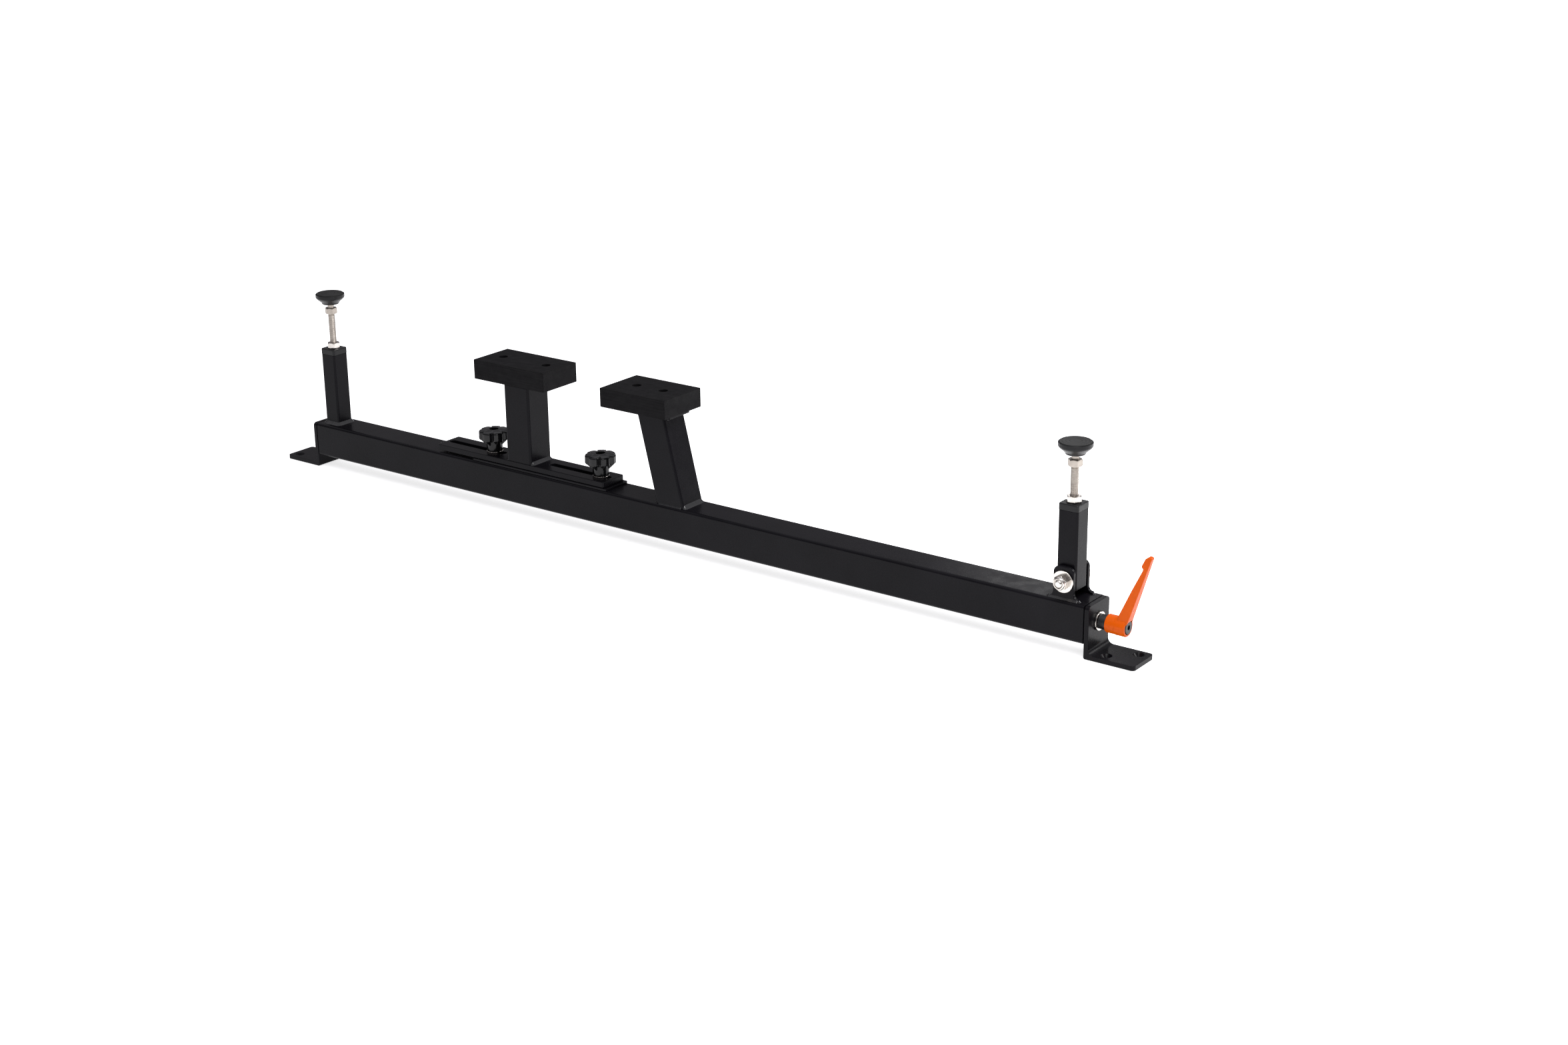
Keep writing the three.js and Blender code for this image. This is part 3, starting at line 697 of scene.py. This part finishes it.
def insert_shape(bm):
    raw_thread(bm, 5.9, 1.75, -18, 2.9, lx, 36, 6, 1.0)
    raw_lathe(bm, [(0, 2.9), (8.6, 2.9), (9.3, 3.6), (9.3, 16.9), (8.8, 17.4), (0, 17.4)], lx, 64)
    teeth = []
    for i in range(96):
        t = 2 * math.pi * i / 96
        teeth.append(((6.85 + 0.35 * math.cos(12 * t)) * math.cos(t), (6.85 + 0.35 * math.cos(12 * t)) * math.sin(t)))
    raw_prism(bm, [teeth, circle(3.1, 0, 0, 96)], 17.2, 22, 0.2, lx)
put(joined("lever_bush", [insert_shape]), "dark", "lever_insert")


def arm_half(z):
    return 8.0 + (3.7 - 8.0) * max(0.0, min(1.0, (z - 6) / 90.5))


def lever_body():
    hub = lathe("lever_casting", [(0, 13.1), (11.6, 13.1, 0.7), (11.6, 26.2), (12.0, 26.5), (12.0, 40.2, 1.6), (0, 40.2)], lx, 72)
    pts = [(27.2, -2, 0), (38.4, -2, 0), (42.2, 7.2, 3.0), (69.2, 93.4, 0.9), (68.0, 95.0, 0.7), (64.6, 95.5, 1.4), (60.6, 92.4, 1.8),
           (56.4, 83.0, 0.9), (56.6, 81.2, 0.6), (58.4, 79.6, 0.6), (58.0, 77.3, 1.2), (45.6, 51, 8), (30.2, 16.0, 3), (28.0, 10.6, 0)]
    outline = rounded_path([(x, z, r) for x, z, r in pts], 4)
    bm = bmesh.new()
    # rims rounded more than the die parting line; the arm thins towards its tip
    lv = []
    e = 0.9
    n = 4
    for i in range(n + 1):
        t = math.pi / 2 * i / n
        lv.append((e * (1 - math.sin(t)), -1 + (e / 5.5) * (1 - math.cos(t))))
    lv = lv + [(d, -w) for d, w in reversed(lv)]
    rows = []
    for d, w in lv:
        rows.append([bm.verts.new(world(lx(w * arm_half(z), z, x))) for x, z in inset(outline, d if area(outline) > 0 else -d)])
    m = len(outline)
    for r0, r1 in zip(rows, rows[1:]):
        for i in range(m):
            j = (i + 1) % m
            bm.faces.new((r0[i], r0[j], r1[j], r1[i]))
    bm.faces.new(rows[0])
    bm.faces.new(list(reversed(rows[-1])))
    arm = obj_from(finish_mesh(bm, "a"), "a")
    boolean(hub, arm, "UNION")
    r = hub.modifiers.new("r", "REMESH")
    r.mode = "VOXEL"
    r.voxel_size = 0.00045
    r.use_smooth_shade = True
    s = hub.modifiers.new("s", "SMOOTH")
    s.factor = 0.5
    s.iterations = 2
    d = hub.modifiers.new("d", "DECIMATE")
    d.ratio = 0.22
    evaluated(hub)
    bore = lathe("c", [(0, 8), (9.7, 8), (9.7, 17.6), (7.6, 17.6), (7.6, 22.6), (3.4, 22.6), (3.4, 24.6), (9.0, 24.6), (9.0, 39.8), (9.5, 42.6), (0, 42.6)], lx, 72)
    boolean(hub, bore)
    shade(hub.data, 42.0)
    return hub


put(lever_body(), "orange", "lever_handle")

sc = lathe("socket_screw", [(0, 16), (2.95, 16), (2.95, 33.4), (8.4, 33.4, 0.3), (8.4, 40.8, 0.8), (0, 40.8)], lx, 64)
boolean(sc, prism("c", [hexagon(6)], 36.8, 43, 0, lx))
bevelled(sc, 0.25, 2, 40.0)
put(sc, "dark", "lever_screw")


def coil(name, turns, R, wire, x0, x1, place, seg=10, per=40):
    bm = bmesh.new()
    rows = []
    total = int(turns * per)
    for k in range(total + 1):
        t = k / total
        ang = 2 * math.pi * turns * t
        cx = x0 + (x1 - x0) * t
        row = []
        for j in range(seg):
            b = 2 * math.pi * j / seg
            r = R + wire * math.cos(b)
            row.append(bm.verts.new(world(place(r * math.cos(ang), r * math.sin(ang), cx + wire * math.sin(b)))))
        rows.append(row)
    for a, b in zip(rows, rows[1:]):
        for i in range(seg):
            j = (i + 1) % seg
            bm.faces.new((a[i], a[j], b[j], b[i]))
    bm.faces.new(rows[0])
    bm.faces.new(list(reversed(rows[-1])))
    return obj_from(finish_mesh(bm, name), name)


put(coil("hub_spring", 3, 5.2, 0.38, 30.1, 32.5, lx), "steel", "lever_spring")


# ------------------------------------------------------------------ support posts
def square_tube(name, w, d, r, t, z0, z1, x, e=0.35, place=None):
    return prism(name, [rounded(w, d, r, 0, 0, 8), rounded(w - 2 * t, d - 2 * t, max(r - t, 1.0), 0, 0, 5)], z0, z1, e, place or along_z(x))


put(square_tube("left_post_tube", 27.2, 27.2, 3.0, 2.0, Z_TOP + 0.05, 175.5, LEFT_POST_X), "powder", "left_post")
pts, nor = around(27.2, 27.2, 3.0, LEFT_POST_X)
put(bead("left_post_weld", pts, nor, Z_TOP + 0.02, 4.2, 4.2, seed=3), "weld", body="beam")


def support(side, x, top, hexz):
    cap_body = BODY[f"{side}_post_cap"]

    def cap(bm):
        raw_prism(bm, [rounded(27.6, 27.6, 3.0, 0, 0, 8), circle(5.2, 0, 0, 48)], top + 0.2, top + 8.5, 0.3, along_z(x), 4, eb=1.3)
        raw_prism(bm, [rounded(22.6, 22.6, 1, 0, 0, 4), circle(5.2, 0, 0, 48)], top - 20, top + 0.3, 0.3, along_z(x))
    put(joined(f"{side}_cap", [cap]), "cap", f"{side}_post_cap")
    n0 = top + 8.7
    turn = 0.35 if side == "left" else 0.12
    put(hex_body(f"{side}_nut", 17, n0, n0 + 8, along_z(x), 5.15, turn=turn), "steel", f"{side}_lock_nut")

    ball = hexz + 19.5

    def stud(bm):
        raw_thread(bm, 4.95, 1.5, hexz - 98, hexz - 1.5, along_z(x), 32, 6, 0.32)
        raw_lathe(bm, [(0, hexz - 3), (4.1, hexz - 3), (4.1, hexz + 1), (0, hexz + 1)], along_z(x), 40)
        raw_lathe(bm, [(0, hexz + 8), (4.6, hexz + 8), (4.6, ball - 3.86), (5.3, ball - 2.8), (5.85, ball - 1.4), (6.0, ball), (5.85, ball + 1.4),
                       (5.3, ball + 2.8), (4.6, ball + 3.9), (2.6, ball + 5.5), (0, ball + 6)], along_z(x), 40)

        def hexes():
            f = hex_radius(16, hexz + 9, hexz, turn=turn + 0.2)
            steps = [0.0, 0.3, 0.6, 0.9, 1.3]
            hs = [hexz + s for s in steps] + [hexz + 9 - s for s in reversed(steps)]
            raw_lathe(bm, [(0, hexz)] + [(16, h) for h in hs] + [(0, hexz + 9)], along_z(x), 96, lambda t, r, h: f(t, r, h) if r > 12 else r)
        hexes()
    put(joined(f"{side}_threaded_stud", [stud], 30.0), "stud", f"{side}_stud")

    p = hexz + 15
    prof = [(0, p + 12.2), (7.3, p + 12.2, 0.5), (7.3, p, 0.4), (12.3, p, 0.7), (13.4, p + 2.6, 1.2), (20.2, p + 8.6, 1.5), (21.3, p + 10.4, 1.0),
            (21.3, p + 15, 0.5), (20.2, p + 15, 0.3), (20.2, p + 14, 0.3), (0, p + 14)]
    put(lathe(f"{side}_swivel_pad", prof, along_z(x), 72), "cap", f"{side}_pad")
    face = [(0, p + 14.1), (19.8, p + 14.1), (19.8, p + 16.2, 0.8), (17.0, p + 16.2), (16.6, p + 15.8), (16.2, p + 16.2), (12.4, p + 16.2), (12.0, p + 15.8),
            (11.6, p + 16.2), (7.8, p + 16.2), (7.4, p + 15.8), (7.0, p + 16.2), (0, p + 16.2)]
    put(lathe(f"{side}_rubber_face", face, along_z(x), 72), "rubber", f"{side}_pad_face")


support("left", LEFT_POST_X, 175.5, 236.5)
support("right", RIGHT_POST_X, 178.5, 232.0)

# ------------------------------------------------------------------ folding post and its hinge
post = square_tube("right_post_tube", 27.2, 27.2, 3.0, 2.0, 79.0, 178.5, RIGHT_POST_X)
boolean(post, lathe("c", [(0, -20), (5.35, -20), (5.35, 20), (0, 20)], along_y(RIGHT_POST_X, 0, HINGE_Z), 48))
shade(post.data)
put(post, "powder", "right_post")

EAR = []
_f, _w, _z0, _z1, _r, _c = 21.5, 14.0, Z_TOP + 0.05, Z_TOP + 42.0, 7.5, 8.5
EAR = ([(-_f, _z0), (_f, _z0), (_f, _z0 + 1.8)] + arc(_f, _z0 + 1.8 + _r, _r, 270, 180, 8)[1:] + arc(_w - _c, _z1 - _c, _c, 0, 90, 10)
       + arc(-_w + _c, _z1 - _c, _c, 90, 180, 10) + arc(-_f, _z0 + 1.8 + _r, _r, 0, -90, 8))
for side, y0 in (("front", -20.0), ("back", 15.0)):
    ear = prism(f"{side}_hinge_ear", [EAR, circle(5.3, 0, HINGE_Z, 48)], y0, y0 + 5, 0.8, along_y(RIGHT_POST_X, 0, 0), 3)
    put(ear, "powder", f"{side}_ear")
    sgn = -1 if side == "front" else 1
    yy = -20.0 if side == "front" else 20.0
    path = [(RIGHT_POST_X - 21.0, yy), (RIGHT_POST_X + 21.0, yy)]
    put(bead(f"{side}_ear_weld", path, [(0, sgn), (0, sgn)], Z_TOP + 0.02, 2.4, 2.6, 2.0, False, seed=5 + sgn), "weld", body="beam")
    for k, sx in (("left", -1), ("right", 1)):
        xx = RIGHT_POST_X + sx * 21.3
        yb = sorted((yy, yy - sgn * 5.0))
        put(bead(f"{side}_ear_weld_{k}", [(xx, yb[0] + 0.2), (xx, yb[1] - 0.2)], [(sx, 0), (sx, 0)], Z_TOP + 0.02, 2.6, 2.3, 1.8, False, seed=9 + sx + sgn), "weld", body="beam")

hy = along_y(RIGHT_POST_X, 0, HINGE_Z)
put(ring("spacer_front", 5.3, 11, -14.85, -13.75, hy, 0.15), "nylon", "hinge_spacer_front")
put(ring("spacer_back", 5.3, 11, 13.75, 14.85, hy, 0.15), "nylon", "hinge_spacer_back")
put(ring("washer_front", 5.3, 14, -22.2, -20.2, hy, 0.45, 80), "steel", "hinge_washer_front")
put(ring("washer_back", 5.3, 14, 20.2, 22.2, hy, 0.45, 80), "steel", "hinge_washer_back")


def hinge_shank(bm):
    raw_thread(bm, 4.95, 1.5, -33.0, -18.0, hy, 36, 6, 0.62, 1.2)
    raw_lathe(bm, [(0, -33.5), (3.2, -33.5, 0.4), (4.0, -32.9), (3.9, -32.0), (0, -32.0)], hy, 40)
    raw_lathe(bm, [(0, -18.4), (4.95, -18.4), (4.95, 22.6), (0, 22.6)], hy, 40)
put(hex_body("hinge_screw", 17, 22.4, 28.9, hy, top=True, bottom=False, turn=0.2, extra=hinge_shank), "steel", "hinge_bolt")


def nyloc_nut():
    turn = 0.30
    f = hex_radius(17, None, -29.9, turn=turn, flat=8.0)
    prof = [(5.15, -22.4), (5.5, -22.4)]
    for h in (-22.4, -22.9, -23.6, -26.0, -28.4, -28.8, -29.1, -29.4, -29.6, -29.8):
        prof.append((17, h))
    prof += [(7.9, -30.1), (7.7, -31.0), (7.2, -31.7), (6.4, -32.0), (5.9, -31.9), (5.7, -31.3), (5.15, -31.1), (5.15, -22.4)]
    bm = bmesh.new()
    raw_lathe(bm, prof, hy, 96, lambda t, r, h: f(t, r, h) if r > 12 else r)
    return obj_from(finish_mesh(bm, "nyloc_nut", 28.0), "nyloc_nut")


put(nyloc_nut(), "steel", "hinge_nut")

# ------------------------------------------------------------------ slide plate and knobs
strip = prism("base_strip", [rounded(250, 47, 2, 446, 0, 5)] + [circle(7.7, x, 0, 40) for x in (343, 543)], Z_TOP + 0.1, Z_TOP + 3.0, 0.35)
put(strip, "powder", "slide_base_strip")
S0, S1 = Z_TOP + 3.3, Z_TOP + 11.5
plate = prism("sliding_plate", [rounded(315.5, 44, 3, 407.75, 0, 8), slot(256, 364, 10), slot(450, 560, 10)], S0, S1, 0.8, n=3)
put(plate, "powder", "slide_plate")

for side, x in (("left", 343), ("right", 543)):
    put(lathe(f"{side}_insert", [(4.2, 55), (4.2, 52), (5.5, 52), (5.5, 68.1), (7.3, 68.1), (7.3, 69.1), (4.2, 69.1), (4.2, 55)], along_z(x), 48),
        "steel", f"{side}_threaded_insert")
    w0 = S1 + 0.1
    put(ring(f"{side}_washer", 4.3, 11.7, w0, w0 + 1.5, along_z(x), 0.3, 64), "steel", f"{side}_knob_washer")

    def kstud(bm, x=x):
        raw_thread(bm, 3.95, 1.25, 50, 84, along_z(x), 28, 6, 0.5)
        raw_lathe(bm, [(0, 83), (3.9, 83), (3.9, 106), (0, 106)], along_z(x), 28)
    put(joined(f"{side}_stud_rod", [kstud], 30.0), "steel", f"{side}_knob_stud")

    k0 = w0 + 1.65
    turn = 0.42

    def lobed(t, r, h):
        c = ((t / (2 * math.pi) * 7 - turn) + 0.5) % 1.0 - 0.5
        u = abs(c) * 2
        g = max(0.0, (u - 0.56) / 0.44)
        groove = 3.9 * (1 - math.cos(math.pi * min(1, g))) / 2
        edge = 0.35 * u * u
        return groove + edge

    # generalised turned body: the last number of a ring is how much of the star it takes
    prof = [(0, k0, 0), (10.4, k0, 0), (11.3, k0 + 0.5, 0), (11.6, k0 + 1.3, 0), (11.6, 92.0, 0), (11.9, 95.2, 0), (13.2, 97.6, 0.15), (15.0, 98.6, 0.5),
            (20.2, 98.8, 1), (21.0, 99.0, 1), (21.6, 99.5, 1), (21.9, 100.3, 1), (21.9, 108.6, 1), (21.75, 109.6, 1), (21.3, 110.5, 1), (20.5, 111.2, 1),
            (19.2, 111.7, 0.96), (17.0, 112.1, 0.85), (14.0, 112.5, 0.55), (11.0, 112.8, 0.25), (8.4, 113.0, 0.0), (7.2, 113.0, 0), (6.8, 112.8, 0),
            (6.6, 112.3, 0), (6.6, 108.6, 0), (6.3, 108.2, 0), (0, 108.2, 0)]
    bm = bmesh.new()
    rows = []
    seg = 168
    pl = along_z(x)
    for r, h, star in prof:
        if r == 0:
            rows.append([bm.verts.new(world(pl(0, 0, h)))])
            continue
        rows.append([bm.verts.new(world(pl((r - star * lobed(2 * math.pi * i / seg, r, h)) * math.cos(2 * math.pi * i / seg),
                                           (r - star * lobed(2 * math.pi * i / seg, r, h)) * math.sin(2 * math.pi * i / seg), h))) for i in range(seg)])
    for a, b in zip(rows, rows[1:]):
        for i in range(seg):
            j = (i + 1) % seg
            if len(a) == 1:
                bm.faces.new((a[0], b[j], b[i]))
            elif len(b) == 1:
                bm.faces.new((a[i], a[j], b[0]))
            else:
                bm.faces.new((a[i], a[j], b[j], b[i]))
    # webs under the lobes
    for k in range(7):
        t = (k + turn) / 7 * 2 * math.pi
        c, s_ = math.cos(t), math.sin(t)
        web = lambda u, v, w, c=c, s_=s_, x=x: (x + u * c - w * s_, u * s_ + w * c, v)
        raw_prism(bm, [[(11.0, 90.5), (12.0, 90.5), (19.6, 97.8), (19.6, 99.6), (11.0, 99.6)]], -1.1, 1.1, 0.25, web, 2)
    put(obj_from(finish_mesh(bm, f"{side}_knob_head", 50.0), f"{side}_knob_head"), "knob", f"{side}_star_knob")

# ------------------------------------------------------------------ heel post, toe post
HX = 409.0
FW, FD = 45.6, 43.0
put(square_tube("heel_post_tube", FW, FD, 3.5, 2.5, S1 + 0.15, 190.4, HX), "powder", "heel_post")


def end_path(w, d, r, cx, side, reach=50.0):
    """one end face of a tube and a part of its two rounded corners"""
    pts, nor = [], []
    x = cx + side * (w / 2 - r)
    for sy, a0, a1 in ((-1, -reach, 0.0), (1, 0.0, reach)):
        for i in range(7):
            t = math.radians(a0 + (a1 - a0) * i / 6)
            pts.append((x + side * r * math.cos(t), sy * (d / 2 - r) + r * math.sin(t)))
            nor.append((side * math.cos(t), math.sin(t)))
    return pts, nor


for side, sx in (("left", -1), ("right", 1)):
    pts, nor = end_path(FW, FD, 3.5, HX, sx)
    put(bead(f"heel_post_weld_{side}", pts, nor, S1 + 0.02, 4.4, 4.2, 2.4, False, seed=11 + sx), "weld", body="heel_carriage")
    put(bead(f"heel_top_weld_{side}", [(HX + sx * FW / 2, -16.5), (HX + sx * FW / 2, 16.5)], [(sx, 0), (sx, 0)], 190.5, 3.4, 3.4, 2.4, False, seed=13 + sx, down=True),
        "weld", body="heel_carriage")

LEAN = 0.245
W_TOE = FW * math.sqrt(1 + LEAN * LEAN)
lean = lambda z: 670.1 - LEAN * (z - 118.0)
toe = prism("toe_post_tube", [rounded(W_TOE, FD, 3.5, 0, 0, 8), rounded(W_TOE - 5.2, FD - 5, 1.2, 0, 0, 5)], Z_TOP + 0.05, 189.7, 0.35,
            lambda u, v, w: (u + lean(w), v, w))
put(toe, "powder", "toe_post")
for side, sx in (("left", -1), ("right", 1)):
    pts, nor = end_path(W_TOE, FD, 3.5, lean(Z_TOP), sx)
    put(bead(f"toe_post_weld_{side}", pts, nor, Z_TOP + 0.02, 4.4, 4.4, 2.4, False, seed=17 + sx, shear=lean), "weld", body="beam")
for side, sy in (("front", -1), ("back", 1)):
    xa, xb = lean(Z_TOP) - W_TOE / 2 + 4, lean(Z_TOP) + W_TOE / 2 - 4
    put(bead(f"toe_post_weld_{side}", [(xa, sy * FD / 2), (xb, sy * FD / 2)], [(0, sy), (0, sy)], Z_TOP - 0.3, 1.6, 2.4, 2.2, False, seed=21 + sy, shear=lean), "weld", body="beam")
zt = 189.8
put(bead("toe_top_weld_left", [(lean(zt) - W_TOE / 2, -17), (lean(zt) - W_TOE / 2, 17)], [(-1, 0), (-1, 0)], zt, 4.6, 4.6, 2.6, False, seed=18, shear=lean, down=True),
    "weld", body="beam")
put(bead("toe_top_weld_right", [(lean(zt) + W_TOE / 2, -17), (lean(zt) + W_TOE / 2, 17)], [(1, 0), (1, 0)], zt, 4.0, 4.0, 2.6, False, seed=19, shear=lean, down=True),
    "weld", body="beam")


def rest(kind, px, pd, bx, bd, b0, b1, screws, names):
    mid = lambda a: (a[0] + a[1]) / 2
    loops = [rounded(px[1] - px[0], pd, 2, mid(px), 0, 5)] + [circle(3.15, x, 0, 32) for x in screws]
    put(prism(f"{kind}_plate", loops, b0 - 5.0, b0 - 0.2, 0.5), "powder", f"{kind}_top_plate")
    slab = prism(f"{kind}_slab", [rounded(bx[1] - bx[0], bd, 1.2, mid(bx), 0, 4)], b0, b1, 0.5, n=2)
    for x in screws:
        boolean(slab, lathe("c", [(0, b0 - 1), (3.4, b0 - 1), (3.4, b1 - 12), (6.2, b1 - 12), (6.2, b1 - 0.5), (6.9, b1 + 0.2), (6.9, b1 + 2), (0, b1 + 2)], along_z(x), 48))
    shade(slab.data)
    put(slab, "block", f"{kind}_block")
    for x, s in zip(screws, ("left", "right")):
        t = lathe(f"{kind}_screw_{s}", [(0, b0 - 8), (2.95, b0 - 8), (2.95, b1 - 11.8), (5.2, b1 - 11.8, 0.3), (5.2, b1 - 5.8, 0.5), (0, b1 - 5.8)], along_z(x), 48)
        boolean(t, prism("c", [[(p[0] + x, p[1]) for p in hexagon(5)]], b1 - 8.8, b1, 0))
        shade(t.data)
        put(t, "dark", f"{kind}_block_screw_{s}")


rest("heel", (353, 459), 44, (344, 474), 70, 195.6, 223.5, (369, 449), None)
rest("toe", (586, 686), 44, (579.7, 692), 78, 194.9, 221.3, (612.8, 659), None)

# ------------------------------------------------------------------ studio
def stage_material(name, colour, rough):
    m, nt, s = material(name, 0.0, 0.3)
    s.inputs["Base Color"].default_value = (*colour, 1)
    s.inputs["Roughness"].default_value = rough
    return m


bm = bmesh.new()
R = 14.0
vs = [bm.verts.new((x, y, -0.0006)) for x, y in ((-R, -R), (R, -R), (R, R), (-R, R))]
bm.faces.new(vs)
me = bpy.data.meshes.new("floor")
bm.to_mesh(me)
bm.free()
floor = obj_from(me, "floor")
paper = stage_material("floor_paper", (0.93, 0.93, 0.93), 0.9)
# lit from below like a light table, so that the shadows stay faint
glow = paper.node_tree.nodes["Principled BSDF"]
glow.inputs["Emission Color"].default_value = (1, 1, 1, 1)
glow.inputs["Emission Strength"].default_value = 0.72
floor.data.materials.append(paper)

w = bpy.data.worlds.new("studio")
bpy.context.scene.world = w
w.use_nodes = True
wt = w.node_tree
bg = wt.nodes["Background"]
bg.inputs["Strength"].default_value = 1.0
# white ceiling and floor sweep, darker walls
tc = wt.nodes.new("ShaderNodeTexCoord")
sep = wt.nodes.new("ShaderNodeSeparateXYZ")
wt.links.new(tc.outputs["Generated"], sep.inputs["Vector"])
wt.links.new(ramp(wt, sep.outputs["Z"], [(0.0, (0.45, 0.44, 0.45)), (0.05, (0.26, 0.25, 0.26)), (0.46, (0.21, 0.205, 0.22)), (0.68, (0.98, 0.97, 1.02)),
                                         (1.0, (1.03, 1.02, 1.07))]), bg.inputs["Color"])


def softbox(name, loc, target, size, power, colour=(1, 1, 1)):
    d = bpy.data.lights.new(name, "AREA")
    d.shape = "RECTANGLE"
    d.size, d.size_y = size
    d.energy = power
    d.color = colour
    o = bpy.data.objects.new(name, d)
    bpy.context.scene.collection.objects.link(o)
    o.location = loc
    o.rotation_euler = (Vector(target) - Vector(loc)).to_track_quat("-Z", "Y").to_euler()
    return o


softbox("key", (1.9, -1.3, 2.3), (0.5, -0.2, 0), (1.1, 0.8), 12)
# over the right end: it lights the top of the hub and the floor in front of the beam
softbox("top", (0.75, -0.15, 1.3), (0.70, -0.05, 0), (0.5, 0.5), 15)
# close to the right end, so that its pool on the floor stays there
softbox("right", (1.35, 0.95, 0.75), (0.85, 0.35, 0), (0.5, 0.5), 8)
# behind, towards the left: only the right end of the beam's top mirrors it to the camera
softbox("back", (-0.86, 2.5, 1.15), (0.6, 0, 0.07), (0.3, 0.6), 1.1)

# ------------------------------------------------------------------ camera
yaw, pitch, roll, focal = -0.6408, 0.3374, 0.0112, 3570.95
fwd = Vector((math.sin(yaw) * math.cos(pitch), math.cos(yaw) * math.cos(pitch), -math.sin(pitch)))
right = Vector((math.cos(yaw), -math.sin(yaw), 0))
down = fwd.cross(right)
r2 = math.cos(roll) * right + math.sin(roll) * down
d2 = -math.sin(roll) * right + math.cos(roll) * down
cam = bpy.data.cameras.new("camera")
cam.sensor_fit = "HORIZONTAL"
cam.sensor_width = 36.0
cam.lens = focal / 2352 * 36.0
cam.clip_end = 100
co = bpy.data.objects.new("camera", cam)
bpy.context.scene.collection.objects.link(co)
rot = Matrix((r2, -d2, -fwd)).transposed().to_4x4()
co.matrix_world = Matrix.Translation((1.9560, -2.3626, 1.1078)) @ rot
bpy.context.scene.camera = co
bpy.context.scene.view_settings.view_transform = "Standard"
